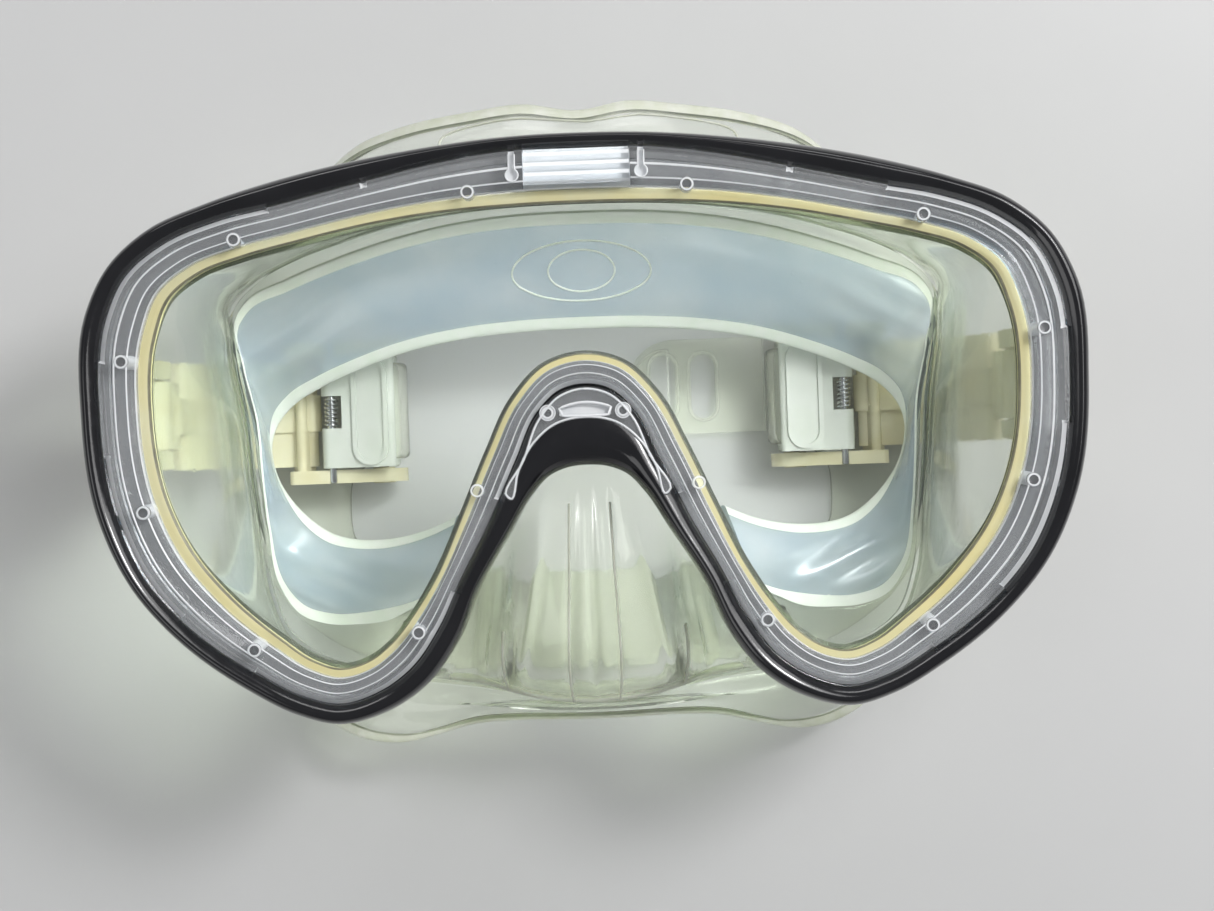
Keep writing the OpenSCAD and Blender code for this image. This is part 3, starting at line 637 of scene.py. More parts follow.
def retaining_ring():
    """The clear ring: its outer bevel, groove, bead, land and inner bevel, with the snap tabs filled in."""
    params, filled = tab_columns()
    ends = filled != np.roll(filled, -1)
    lift = 1.65 * filled
    # share of the way to the edge of the glass, height, and 1 where the face that follows is painted white as
    # a highlight
    ring = [
        (0.02, RING_BASE, 0), (0.02, FRONT - 2.0 + lift, 1), (0.05, FRONT - 1.75 + 0.86 * lift, 1),
        (0.11, FRONT - 0.85 + 0.3 * lift, 1), (0.155, FRONT - 0.3, 0), (0.17, FRONT - 0.2, 0),
        (0.245, FRONT - 0.2, 0), (0.26, FRONT - 0.35, 0), (0.27, FRONT - 1.1, 0), (0.305, FRONT - 1.1, 0),
        (0.315, FRONT - 0.5, 1), (0.34, FRONT - 0.3, 1), (0.36, FRONT - 0.4, 0), (0.59, FRONT - 0.42, 1),
        (0.62, FRONT - 0.55, 0), (0.69, FRONT - 1.4, 0), (0.735, FRONT - 2.3, 1), (0.755, FRONT - 2.6, 1),
        (0.76, FRONT - 3.0, 0), (0.76, RING_BASE, 0),
    ]
    rows = led_section([(WINDOW_LOOP, GLASS_LOOP, share, height) for share, height, _ in ring], params)

    def shade(r, c):
        # the outer bevel at each end of a tab is painted white as a highlight
        if 1 <= r <= 4 and ends[c]:
            return 1  # the end of a tab
        return 0 if r <= 4 and filled[c] else ring[r][2]

    bm = bmesh.new()
    grid_mesh(bm, rows, material_of=shade)
    piece = finish_mesh("retaining_ring", bm, "clear_ring", extra=["ring_highlight"])
    cut = bmesh.new()
    gap = CLIP_W + 0.15
    prism(cut, [(-gap, 42.3), (gap, 42.3), (gap, 50.5), (-gap, 50.5)], FRONT - 3.25, FRONT + CLEAR)
    for side in (-1, 1):
        for x, y in PIN_SPOTS:
            prism(cut, circle(side * x, y, PIN_R + 0.07), RING_BASE - 1, FRONT + CLEAR)
        prism(cut, keyhole(side * KEYHOLE_X), FRONT - 1.4, FRONT + CLEAR)
    # the walls cut for the clip, the pins and the keyholes are painted white as highlights
    combine(piece, cut, "DIFFERENCE", shade=1)
    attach(piece, "mask")
    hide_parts("lens_ring")


def snap_pins():
    bm = bmesh.new()
    top = FRONT - 0.3
    profile = [(0, RING_BASE), (PIN_R, RING_BASE), (PIN_R, top - 0.3), (PIN_R - 0.05, top - 0.05)]
    profile += [(PIN_R - 0.12, top), (PIN_R - 0.36, top), (PIN_R - 0.42, top - 0.2), (0, top - 0.25)]
    for side in (-1, 1):
        for x, y in PIN_SPOTS:
            # the outer chamfer and rim of each pin's top are painted white as a highlight
            lathe(bm, profile, (side * x, y, 0), shades=[0, 0, 1, 1, 1, 0, 0])
    finish_mesh("snap_pins", bm, "clear_ring", "mask", ["ring_pins"], extra=["ring_highlight"])


def glass_pane():
    outline = curve(WINDOW_LOOP + (GLASS_LOOP - WINDOW_LOOP) * 0.36, 6)
    bm = bmesh.new()
    prism(bm, outline, GLASS_BASE, GLASS_TOP)
    piece = finish_mesh("glass_pane", bm, "tempered_glass", "mask", ["lens"])
    bevel(piece, 0.3)


def brow_clip():
    """Clear block at the brow with three rounded ridges along it."""
    y0, y1, ridges, foot = 42.4, 48.4, 3, 0.4
    base, top = FRONT - 3.15, FRONT - 0.05
    # the slope at the front edge is painted white as a highlight, as are the brow sides of the ridges below
    outline, shades = [(y0, base), (y0, top - 1.2), (y0 + foot, top - 0.45)], [0, 1, 0]
    pitch = (y1 - y0 - 2 * foot) / ridges
    # share of a ridge, depth below its crest, and 1 where the face that follows is painted white as a
    # highlight
    ridge = [(0.08, 0.45, 0), (0.2, 0.12, 0), (0.5, 0.0, 1), (0.8, 0.12, 1), (0.92, 0.45, 0)]
    for k in range(ridges):
        for share, drop, white in ridge:
            outline.append((y0 + foot + (k + share) * pitch, top - drop))
            shades.append(white)
    outline += [(y1, top - 0.7), (y1, base)]
    shades += [0, 0]
    bm = bmesh.new()
    prism(bm, outline, -CLIP_W, CLIP_W, "x", shades)
    piece = finish_mesh("brow_clip", bm, "clear_ring", "mask", ["top_clip"], 50, ["ring_highlight"])
    bevel(piece, 0.12, 2, 50)


NOSE_PIN = (6.6, 2.3)
SLOT_POINTS = 21  # along one side of the crescent plate's slot


def slot_outline():
    """Lens-shaped slot between the two pins of the crescent plate."""
    half, rise = 4.5, 0.95
    ends = np.linspace(-half, half, SLOT_POINTS)
    bow = rise * (1 - (ends / half) ** 2)
    upper = np.column_stack([ends, 3.0 + bow])
    lower = np.column_stack([ends[::-1], 1.7 - 0.15 * bow[::-1]])
    return np.vstack([upper, lower])


def crescent_plate():
    top = FRONT - 0.05
    bm = bmesh.new()
    prism(bm, CRESCENT, FRONT - 2.25, top)
    piece = finish_mesh("crescent_plate", bm, "clear_ring", sharp=40, extra=["ring_highlight"])
    cut = bmesh.new()
    prism(cut, slot_outline(), FRONT - 1.3, FRONT + 3)
    for side in (-1, 1):
        prism(cut, circle(side * NOSE_PIN[0], NOSE_PIN[1], 1.25), FRONT - CLEAR, FRONT + 3)
    # the walls of the slot and the pin holes are painted white as highlights
    combine(piece, cut, "DIFFERENCE", 40, 1)
    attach(piece, "mask")
    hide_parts("nose_plate")
    bevel(piece, 0.18, 2, 40)


def plate_pins():
    bm = bmesh.new()
    radius, base, top = 1.18, FRONT - 2.2, FRONT - 0.1
    profile = [(0, base), (radius, base), (radius, top - 0.25), (1.0, top), (0.7, top), (0.6, top - 0.2)]
    profile.append((0, top - 0.2))
    for side in (-1, 1):
        # the chamfer and outer rim of each pin's top are painted white as a highlight
        lathe(bm, profile, (side * NOSE_PIN[0], NOSE_PIN[1], 0), shades=[0, 0, 1, 1, 0, 0])
    finish_mesh("plate_pins", bm, "clear_ring", "mask", ["nose_pins"], extra=["ring_highlight"])


def inset(outline, depth):
    """Moves a closed outline that runs clockwise in by depth."""
    ahead = np.roll(outline, -1, 0) - np.roll(outline, 1, 0)
    ahead = ahead / length_of(ahead)
    return outline + depth * np.column_stack([ahead[:, 1], -ahead[:, 0]])


def raised_outlines():
    """Thin raised lines round the crescent plate, its slot and pins, and the two keyholes, painted white as
    highlights.
    """
    bm = bmesh.new()

    def line(outline, height, radius):
        tube(bm, np.column_stack([outline, np.full(len(outline), height)]), radius, 6, True)

    line(inset(CRESCENT, 0.3), FRONT - 0.13, 0.2)
    slot = slot_outline()
    line(np.vstack([slot[:SLOT_POINTS], slot[SLOT_POINTS + 1 : -1]]), FRONT - 0.12, 0.26)
    for side in (-1, 1):
        line(circle(side * NOSE_PIN[0], NOSE_PIN[1], 1.32, 24), FRONT - 0.12, 0.13)
        x, neck_end = side * KEYHOLE_X, 47.6
        neck = [(x + KEYHOLE_NECK, neck_end), (x - KEYHOLE_NECK, neck_end)]
        line(np.vstack([keyhole(x)[1:-1], neck]), FRONT - 0.3, 0.15)
    finish_mesh("raised_outlines", bm, "ring_highlight", "mask", sharp=80)


def gasket_band():
    top = RING_BASE - 0.05
    lower = GLASS_BASE - 0.02
    # share of the way to the edge of the glass, height, and the material of the face that follows:
    # 0 the band in sight, 1 the bed under the ring, 2 the inner edge, painted dark as a shade line
    channel = [
        (0.06, CHANNEL_BASE, 1), (0.06, top - 0.2, 1), (0.08, top, 1), (0.74, top, 0), (0.85, top, 0),
        (0.955, top - 0.03, 2), (0.985, top - 0.2, 2), (1.0, top - 0.6, 2), (1.0, GLASS_TOP + 0.15, 2),
        (0.985, GLASS_TOP + 0.02, 0), (0.33, GLASS_TOP + 0.02, 1), (0.33, lower, 1), (0.92, lower, 0),
        (0.95, lower - 0.25, 0), (0.95, CHANNEL_BASE + 0.25, 0), (0.92, CHANNEL_BASE, 0),
        (0.66, CHANNEL_BASE, 1),
    ]
    rows = led_section([(WINDOW_LOOP, GLASS_LOOP, share, height) for share, height, _ in channel], PARAMS)
    bm = bmesh.new()
    grid_mesh(bm, rows, material_of=lambda r, c: channel[r][2])
    bed_and_shade_line = ["dark_bed", "gasket_shade_line"]
    finish_mesh("gasket_band", bm, "aged_silicone", "mask", ["skirt_channel"], extra=bed_and_shade_line)


# ---- Silicone skirt
FLOOR_Z = 0.02  # lowest height of what rests on the floor


def normals_of(grid, closed):
    """Unit normals of a grid of points, rows by columns."""
    if closed:
        across = np.roll(grid, -1, 1) - np.roll(grid, 1, 1)
    else:
        across = np.gradient(grid, axis=1)
    down = np.gradient(grid, axis=0)
    normal = np.cross(across, down)
    return normal / length_of(normal)


def thick_sheet(grid, thickness, closed, outer=None):
    """Rows of a closed section: the outer face, a round rim, and back along the grid at its thickness.

    thickness holds one value for each row of the grid."""
    back = grid - normals_of(grid, closed) * thickness[:, None, None]
    front = grid if outer is None else outer
    centre, half = (front[-1] + back[-1]) / 2, (front[-1] - back[-1]) / 2
    out = grid[-1] - grid[-2]
    out = out / length_of(out) * length_of(half)
    angles = np.radians([30, 60, 90, 120, 150])
    rim = [centre + math.cos(a) * half + math.sin(a) * out for a in angles]
    return np.array([*front, *rim, *back[::-1]])


def wall_half():
    """Control rows of the skirt's outer face, right half, from below the glass to the flange's edge."""
    window, glass = np.array(WINDOW_HALF), np.array(GLASS_HALF)
    root, edge = np.array(ROOT_HALF), np.array(OUTER_EDGE_HALF)

    def under_glass(share, z):
        return np.column_stack([window + (glass - window) * share, np.full(len(window), z)])

    start = under_glass(0.78, CHANNEL_BASE - 0.05)

    def between(t):
        lean = 1 - (1 - t) ** 2
        return start + (root - start) * np.array([lean, lean, t])

    # the pocket drops straight past the frame before it runs forward
    beside = under_glass(0.74, BACK - 0.7)
    share = np.clip((np.arange(len(window)) - NOSE_FIRST + 1) / 2, 0, 1)[:, None]
    rows = [start, between(0.06) * (1 - share) + beside * share]
    for k, t in enumerate((0.25, 0.5, 0.72, 0.88)):
        row = between(t)
        row[NOSE_FIRST:] = POCKET_ROWS[k]
        rows.append(row)
    rows.append(root)
    for t in (0.35, 0.7, 1.0):
        row = root + (edge - root) * t
        row[:, 2] += 3 * math.sin(math.pi * t) * (1 - t)
        rows.append(row)
    return np.array(rows)


def pocket_relief(grid):
    """How far the nose pocket's ridge and the ribs beside it stand out, and the wells beside its lobe in."""
    x, y, z = np.abs(grid[..., 0]), grid[..., 1], grid[..., 2]
    down = np.clip(-9 - y, 0, 45)

    def bump(middle, width):
        return np.exp(-(((x - middle) / width) ** 2))

    ribs = 0.8 * bump(2.6 + 0.05 * down, 0.8) + 0.9 * bump(0, 0.9)
    wells = -1.3 * bump(7.5 + 0.2 * down, 1.6)
    fade = np.clip((-10 - y) / 8, 0, 1) * np.clip((y + 51) / 7, 0, 1) * np.clip((z - 26) / 6, 0, 1)
    return (ribs + wells) * fade


SKIRT_STEPS = 7


def skirt_shell():
    """The wall, the nose pocket and the outer flange as one sheet; returns the grid of its outer face."""
    control = np.array([loop(row) for row in wall_half()])
    down = curve(control, SKIRT_STEPS, False)
    grid = np.swapaxes(curve(np.swapaxes(down, 0, 1), 10), 0, 1)
    if normals_of(grid, True)[3, 0, 1] < 0:
        grid = grid[:, ::-1]
    outer = grid + normals_of(grid, True) * pocket_relief(grid)[..., None]
    left = len(grid) - 1 - np.arange(len(grid))  # rows left to the flange's edge
    thickness = 1.4 + 0.5 * np.clip(left / (3 * SKIRT_STEPS), 0, 1) + 0.7 * np.clip(1 - left / 3, 0, 1)
    rows = thick_sheet(grid, thickness, True, outer)
    rows[..., 2] = np.maximum(rows[..., 2], FLOOR_Z)
    # the rows round the flange's edge and its rim are painted light as a highlight
    edge = range(len(grid) - 3, len(grid) + 7)
    bm = bmesh.new()
    grid_mesh(bm, rows, material_of=lambda r, c: 1 if r in edge else 0)
    nodes = ["skirt_wall", "nose_pocket", "skirt_outer_seal"]
    finish_mesh("skirt_shell", bm, "clear_silicone", "mask", nodes, 80, ["silicone_highlight"])
    return grid


def pocket_lines(grid):
    """Rounded lines down the nose pocket: the ribs beside its ridge, and the edges of its middle lobe,
    painted light as highlights.
    """
    lifted = grid + normals_of(grid, True) * pocket_relief(grid)[..., None]
    first, last = 2 * SKIRT_STEPS + 2, 5 * SKIRT_STEPS
    foot = lifted[last]
    bm = bmesh.new()
    far = 100 * (foot[:, 1] > -30)
    for x, radius, start in ((4.4, 0.24, first), (16.5, 0.34, first + 9)):
        for side in (-1, 1):
            column = np.argmin(np.abs(foot[:, 0] - side * x) + far)
            tube(bm, curve(lifted[start : last + 1, column], 2, False), radius, 8)
    finish_mesh("pocket_lines", bm, "silicone_highlight", "mask", sharp=80)


def pocket_rim():
    """Thicker rounded rim along the bottom of the nose pocket, painted light as a highlight."""
    row = np.array(POCKET_ROWS[3][2:])
    path = curve(np.vstack([mirror(row), row[-2::-1]]), 8, False)
    bm = bmesh.new()
    tube(bm, path + (0, 0.9, -0.6), 1.1, 10)
    finish_mesh("pocket_rim", bm, "silicone_highlight", "mask", sharp=80)


def flange_panel(grid):
    """Plain raised panel outline on the brow side of the outer flange, painted light as a highlight."""
    last, count = len(grid) - 1, grid.shape[1]
    edge = grid[last]
    top = np.argmax((edge[:, 1] + 100) * (np.abs(edge[:, 0]) < 3))
    path = []
    for a in np.linspace(0, 2 * math.pi, 120, endpoint=False):
        x, y = math.cos(a), math.sin(a)
        wide, tall = np.sign(x) * abs(x) ** 0.35, np.sign(y) * abs(y) ** 0.5
        path.append(on_grid(grid, last - 8 + 4.6 * tall, (top + 26 * wide) % count) + (0, 0, 0.12))
    bm = bmesh.new()
    tube(bm, path, 0.24, 6, True)
    finish_mesh("flange_panel", bm, "silicone_highlight", "mask", sharp=80)


def inside(p, d):
    """A point d nearer the middle of the mask than p, and a little higher."""
    keep = 1 - d / math.hypot(p[0], p[1])
    return np.array([p[0] * keep, p[1] * keep, p[2] + 2])


SEAL_STEPS = 8


def seal_folds(grid):
    """Soft folds of the face seal where it turns at its four corners."""
    x, y = np.abs(grid[..., 0]), grid[..., 1]
    lift = 0
    for cx, cy, lean in ((58, 20, 0.6), (52, -28, -0.5)):
        near = np.exp(-(((x - cx) / 11) ** 2 + ((y - cy) / 8) ** 2))
        lift = lift + 0.42 * near * np.sin((x * lean + y) * 0.95)
    return lift


def face_seal():
    """The frosted seal and the web that joins it to the wall; returns the grid of its outer face."""
    turn, opening = np.array(SEAL_TURN_HALF), np.array(OPENING_HALF)
    web = [inside(p, 2.9) for p in ROOT_HALF[:NOSE_FIRST]]
    web += [turn[i] * 0.9 + turn[i - 1] * 0.1 + (2, -3, 0) for i in range(NOSE_FIRST, len(turn))]
    rows = [np.array(web)]
    for t in (0, 0.33, 0.66, 1):
        row = turn + (opening - turn) * t
        row[:, 2] += 2 * math.sin(math.pi * t)
        rows.append(row)
    control = np.array([arch(row) for row in rows])
    down = curve(control, SEAL_STEPS, False)
    grid = np.swapaxes(curve(np.swapaxes(down, 0, 1), 8, False), 0, 1)
    if normals_of(grid, False)[12, grid.shape[1] // 2, 2] < 0:
        grid = grid[:, ::-1]
    last = len(grid) - 1
    at = np.arange(len(grid))
    lip = np.clip((at - SEAL_STEPS) / 3, 0, 1) * np.clip((last - at) / 4, 0, 1)
    grid = grid + normals_of(grid, False) * (seal_folds(grid) * lip[:, None])[..., None]
    rim_bead = 0.7 * np.clip(1 - (last - at) / 2.5, 0, 1)
    turn_bead = 0.4 * np.clip(1 - abs(at - SEAL_STEPS) / 2, 0, 1)
    thickness = 1.3 + rim_bead + turn_bead
    rows = thick_sheet(grid, thickness, False)
    total = len(rows)

    # the web is clear silicone; the rim, the turn and the rows beside them are painted near white as
    # highlights
    def shade(r, c):
        at = r if r <= last else max(total - 2 - r, 0)
        if at < SEAL_STEPS - 1:
            return 1
        rim = last < r < last + 6
        return 2 if rim or at < SEAL_STEPS + 2 or at > last - 3 else 0

    bm = bmesh.new()
    grid_mesh(bm, rows, True, False, True, shade)
    others = ["clear_silicone", "seal_highlight"]
    finish_mesh("face_seal", bm, "frosted_silicone", "mask", ["skirt_inner_seal"], 80, others)
    return grid


# ---- Buckles, drawn for the right side; side is 1 for the right and -1 for the left
SIDES = {"right": 1, "left": -1}


def flip(bm, side):
    """Mirrors what is drawn for the right side."""
    if side < 0:
        for v in bm.verts:
            v.co.x = -v.co.x
        bmesh.ops.reverse_faces(bm, faces=bm.faces)


def union_piece(name, solids, slot, body, nodes, side, cuts=(), sharp=35, width=0.25):
    """Joins closed solids, each drawn by a function of a new bmesh, and cuts holes into them."""
    first = bmesh.new()
    solids[0](first)
    flip(first, side)
    piece = finish_mesh(name, first, slot, sharp=sharp)
    for operation, drawn in (("UNION", solids[1:]), ("DIFFERENCE", cuts)):
        for draw in drawn:
            bm = bmesh.new()
            draw(bm)
            flip(bm, side)
            combine(piece, bm, operation, sharp)
    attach(piece, body)
    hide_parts(*nodes)
    bevel(piece, width, 2, 40)


def bar(outline, width, y=0.0):
    """Draws a prism across the buckle, centred y from its middle."""
    return lambda bm: prism(bm, outline, BUCKLE_Y + y - width / 2, BUCKLE_Y + y + width / 2, "y")


def round_bar(x, z, d, width=60, y=0.0):
    return bar(circle(x, z, d / 2), width, y)


def ahead_of(line):
    """Unit tangents along an open line."""
    ahead = np.gradient(line, axis=0)
    return ahead / length_of(ahead)


def strip_outline(path, thickness):
    """Outline of a strip of even thickness along a path in X and Z, with round ends."""
    line = curve(path, 6, False)
    ahead = ahead_of(line)
    side = np.column_stack([-ahead[:, 1], ahead[:, 0]]) * thickness / 2
    turn = np.radians(np.linspace(0, 180, 9))[1:-1, None]
    end = line[-1] + np.cos(turn) * side[-1] + np.sin(turn) * ahead[-1] * np.linalg.norm(side[-1])
    start = line[0] - np.cos(turn) * side[0] - np.sin(turn) * ahead[0] * np.linalg.norm(side[0])
    return np.vstack([line + side, end, (line - side)[::-1], start])


def hull_outline(*circles):
    """Convex outline round some circles given as (x, z, r)."""
    points = np.vstack([circle(x, z, r, 40) for x, z, r in circles])
    points = points[np.lexsort((points[:, 1], points[:, 0]))]
    chains = []
    for ordered in (points, points[::-1]):
        chain = []
        for p in ordered:
            while len(chain) > 1:
                u, v = chain[-1] - chain[-2], p - chain[-2]
                if u[0] * v[1] - u[1] * v[0] > 1e-9:
                    break
                chain.pop()
            chain.append(p)
        chains += chain[:-1]
    return np.array(chains)


HUB_W, TONGUE_W, GRIP_W, YOKE_W, CHEEK_T, EAR_T, EAR_GAP = 12.8, 7.2, 21.0, 28.0, 2.6, 3.4, 0.4
HINGE_D, AXLE_D, LEVER_D, ROLLER_D = 3.0, 2.0, 1.6, 6.6
BAR_X = 55.0
LEVER_W = YOKE_W - 2 * CHEEK_T - 0.8
ARM_PATH = [(79.6, 30), (78.8, 23), (76.4, 16), (71.5, 11.6), (64, 9.6), (BAR_X, 9)]


def side_bracket(name, side):
    ear_y = (HUB_W + EAR_T) / 2 + EAR_GAP
    web = [(80.2, BACK), (86.2, BACK), (86.2, 48), (84.4, 44.4), (81, 44.8), (80.2, 48)]
    solids = [bar(web, 2 * ear_y + EAR_T)]
    for e in (-1, 1):
        ear = hull_outline((HINGE_X, HINGE_Z, 3.6), (81.6, 47, 1.2), (84, 47, 1.2))
        solids.append(bar(ear, EAR_T, e * ear_y))
        solids.append(round_bar(HINGE_X, HINGE_Z, 5.2, EAR_T + 0.6, e * ear_y))
    cuts = [round_bar(HINGE_X, HINGE_Z, HINGE_D + 0.04)]
    node = "buckle_mount_" + name
    union_piece("side_bracket_" + name, solids, "buckle_plastic", "mask", [node], side, cuts)


def pin_piece(piece_name, x, z, d, width, body, node, side):
    """A steel pin across the buckle with domed ends."""
    half, r = width / 2, d / 2
    profile = [(0, -half), (r * 0.6, -half + 0.02), (r * 0.9, -half + 0.2), (r, -half + 0.45)]
    profile = profile + [(radius, -height) for radius, height in profile[::-1]]
    bm = bmesh.new()
    lathe(bm, profile, (x, BUCKLE_Y, z), "y")
    flip(bm, side)
    finish_mesh(piece_name, bm, "pin_steel", body, [node], 50)


def buckle_arm(name, side):
    line = curve(ARM_PATH, 12, False)
    hub = [(HINGE_X - 3.4, HINGE_Z), (HINGE_X + 3, HINGE_Z + 1), (HINGE_X - 0.2, 28.4), (78, 28.4)]
    solids = [
        round_bar(HINGE_X, HINGE_Z, 6.8, HUB_W),
        bar(hub, HUB_W),
        bar(strip_outline(ARM_PATH, 4.0), TONGUE_W),
        bar(strip_outline(ARM_PATH[1:], 2.6), GRIP_W),
    ]
    # rounded ribs of the grip
    reach = np.concatenate([[0], np.cumsum(length_of(np.diff(line, axis=0)))])
    for at in np.arange(6.6, 24, 2.35):
        x, z = (np.interp(at, reach, line[:, k]) for k in (0, 1))
        solids.append(bar(circle(x, z, 2.0, 24), GRIP_W))
    # yoke that carries the roller
    corners = [(BAR_X - 1, 7.6, 1), (BAR_X + 3, 7.6, 1), (BAR_X + 3, 14.2, 1)]
    for e in (-1, 1):
        y = e * (YOKE_W - CHEEK_T) / 2
        solids.append(bar(hull_outline((ROLLER_X, ROLLER_Z, 4.8), *corners), CHEEK_T, y))
        solids.append(round_bar(ROLLER_X, ROLLER_Z, 4.4, CHEEK_T + 0.5, y))
    crossbar = hull_outline((BAR_X + 0.4, 7.4, 0.8), (BAR_X + 3.2, 7.4, 0.8), (BAR_X + 1.8, 11.6, 1))
    solids.append(bar(crossbar, YOKE_W))
    cuts = [
        round_bar(ROLLER_X, ROLLER_Z, AXLE_D + 0.04),
        round_bar(HINGE_X, HINGE_Z, HINGE_D + 0.1),
        round_bar(LEVER_X, LEVER_Z, LEVER_D + 0.04),
    ]
    body, node = "buckle_" + name, "buckle_body_" + name
    union_piece("buckle_arm_" + name, solids, "buckle_plastic", body, [node], side, cuts, 40, 0.2)


def thumb_lever(name, side):
    """Lever with a stadium-shaped pad on it, hollowed to leave a rim, and a notch for the spring."""
    knee = (LEVER_X - 4.4, LEVER_Z + 1, 1)
    plate = hull_outline((LEVER_X, LEVER_Z, 1.9), knee)
    blade = hull_outline(knee, (LEVER_X - 11.8, LEVER_Z + 2.1, 0.9))
    tilt = math.atan2(1.1, 7.4)
    turn = np.array([[math.cos(tilt), math.sin(tilt)], [-math.sin(tilt), math.cos(tilt)]])
    middle = np.array([LEVER_X - 7.9, LEVER_Z + 2.55])

    def pad(radius, low, high):
        ends = [circle(0, 7.0, radius, 24, 0, 180), circle(0, -7.0, radius, 24, 180, 360)]

        def draw(bm):
            prism(bm, np.vstack(ends), low, high)
            for v in bm.verts:
                x, z = turn @ np.array([v.co.x, v.co.z]) / MM
                v.co = Vector((x + middle[0], v.co.y / MM + BUCKLE_Y, z + middle[1])) * MM
        return draw

    solids = [bar(plate, LEVER_W), bar(blade, LEVER_W), pad(3.6, -0.6, 0.6)]
    corners = ((-2.2, -3), (3, -3), (3, 3), (-2.2, 3))
    notch = [(LEVER_X + x, LEVER_Z + z) for x, z in corners]
    cuts = [round_bar(LEVER_X, LEVER_Z, LEVER_D + 0.1), bar(notch, 6.4), pad(2.7, 0.1, 3)]
    body, node = "lever_" + name, "release_lever_" + name
    union_piece("thumb_lever_" + name, solids, "lever_plastic", body, [node], side, cuts, 40, 0.2)


def lever_coil(name, side):
    """Torsion spring round the lever's pin."""
    wire, turns, pitch = 0.25, 6.5, 0.82
    r = LEVER_D / 2 + 0.1 + wire
    angles = np.linspace(0, turns * 2 * math.pi, int(turns * 24))
    y = BUCKLE_Y + (angles / (2 * math.pi) - turns / 2) * pitch
    coil = np.column_stack([LEVER_X - r * np.cos(angles), y, LEVER_Z + r * np.sin(angles)])
    bm = bmesh.new()
    tube(bm, coil, wire, 8)
    flip(bm, side)
    node = "lever_spring_" + name
    finish_mesh("lever_coil_" + name, bm, "pin_steel", "buckle_" + name, [node], 60)


def tongue_lines(name, side):
    """Raised beads along both edges of the arm's tongue, painted white as highlights."""
    line = curve(ARM_PATH[:-1], 8, False)
    ahead = ahead_of(line)
    face = line + np.column_stack([-ahead[:, 1], ahead[:, 0]]) * 2.05
    bm = bmesh.new()
    for e in (-1, 1):
        y = np.full(len(face), BUCKLE_Y + e * (TONGUE_W / 2 - 0.3))
        tube(bm, np.column_stack([face[:, 0], y, face[:, 1]]), 0.32, 8)
    flip(bm, side)
    finish_mesh("tongue_lines_" + name, bm, "ring_highlight", "buckle_" + name, sharp=80)


def roller_sleeve(name, side):
    """Roller with twelve rounded ridges and two flanges, bored for its axle."""
    half, outer, ridges, count = LEVER_W / 2, ROLLER_D / 2, 12, 96
    angles = np.linspace(0, 2 * math.pi, count, endpoint=False)
    wave = 0.35 * (0.5 - 0.5 * np.cos(ridges * angles)) ** 1.5
    # distance in from the end, and radius, from the bore to the ridges
    end = [(0, 1.06), (0, 2.9), (0.3, 3.25), (0.9, 3.28), (1.1, outer)]
    places = [(d - half, r) for d, r in end] + [(half - d, r) for d, r in reversed(end)]
    rows = []
    for y, r in places:
        radius = r - (wave if r == outer else 0)
        x, z = ROLLER_X + radius * np.cos(angles), ROLLER_Z + radius * np.sin(angles)
        rows.append(np.column_stack([x, np.full(count, BUCKLE_Y + y), z]))
    bm = bmesh.new()
    grid_mesh(bm, np.array(rows))
    flip(bm, side)
    node = "strap_roller_" + name
    finish_mesh("roller_sleeve_" + name, bm, "lever_plastic", "roller_" + name, [node], 40)


# ---- Strap
STRAP_W, STRAP_T = 19.0, 1.8
STRAP_BACK_Y = -39.0
TURN_R = ROLLER_D / 2 + 0.15 + STRAP_T / 2


def band_rows(centre, across, up, width):
    """Rows of a strap's cross-section: flat in the middle, with a rounded bead along each edge."""
    w, t = width / 2, STRAP_T / 2
    # distance in from the edge, and share of half the thickness, from below to above
    edge = [(0.7, -1), (0.25, -0.6), (0, 0), (0.25, 0.7), (0.8, 1), (1.5, 0.95), (1.9, 0.62)]
    section = [(d - w, share * t) for d, share in edge[1::-1]]
    section += [(w - d, share * t) for d, share in edge]
    section += [(d - w, share * t) for d, share in edge[:1:-1]]
    return np.array([centre + a * across + b * up for a, b in section])


def strap_path():
    """Centre line of the strap, over the roller and back along the floor, and how many points bend."""
    points = [(47.6, BUCKLE_Y, ROLLER_Z + TURN_R), (44.4, BUCKLE_Y, ROLLER_Z + TURN_R)]
    for angle in range(90, 271, 20):
        a = math.radians(angle)
        points.append((ROLLER_X + TURN_R * math.cos(a), BUCKLE_Y, ROLLER_Z + TURN_R * math.sin(a)))
    flat = [(45.4, 4.5, 2.2), (50.4, 2.0, 1.35), (54.8, -2, 1.2), (57.3, -7, 1.15), (58, -13, 1.05)]
    flat += [(56.6, -24, 0.95), (47, -33.6, 0.95), (30, -38.2, 0.95), (12, STRAP_BACK_Y, 0.95)]
    return np.array(points + flat), len(points)


def strap_side(name, side):
    points, bent = strap_path()
    line = curve(points, 6, False)
    ahead = ahead_of(line)
    flat_side = np.column_stack([-ahead[:, 1], ahead[:, 0], np.zeros(len(line))])
    flat_side /= np.maximum(length_of(flat_side), 1e-9)
    share = np.clip((np.arange(len(line)) / 6 - bent + 1) / 2, 0, 1)[:, None]
    across = flat_side * share + np.array([0, 1, 0]) * (1 - share)
    across /= length_of(across)
    up = np.cross(ahead, across)
    rows = np.swapaxes(band_rows(line, across, up, STRAP_W), 0, 1)
    bm = bmesh.new()
    grid_mesh(bm, rows, wrap_rows=False, wrap_cols=True)
    bm.verts.ensure_lookup_table()
    count = rows.shape[1]
    bm.faces.new(bm.verts[:count])
    bm.faces.new(list(reversed(bm.verts[-count:])))
    flip(bm, side)
    piece = finish_mesh("strap_side_" + name, bm, "strap_silicone", sharp=50)
    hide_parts("strap_turn_" + name, "strap_end_" + name)
    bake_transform(piece)


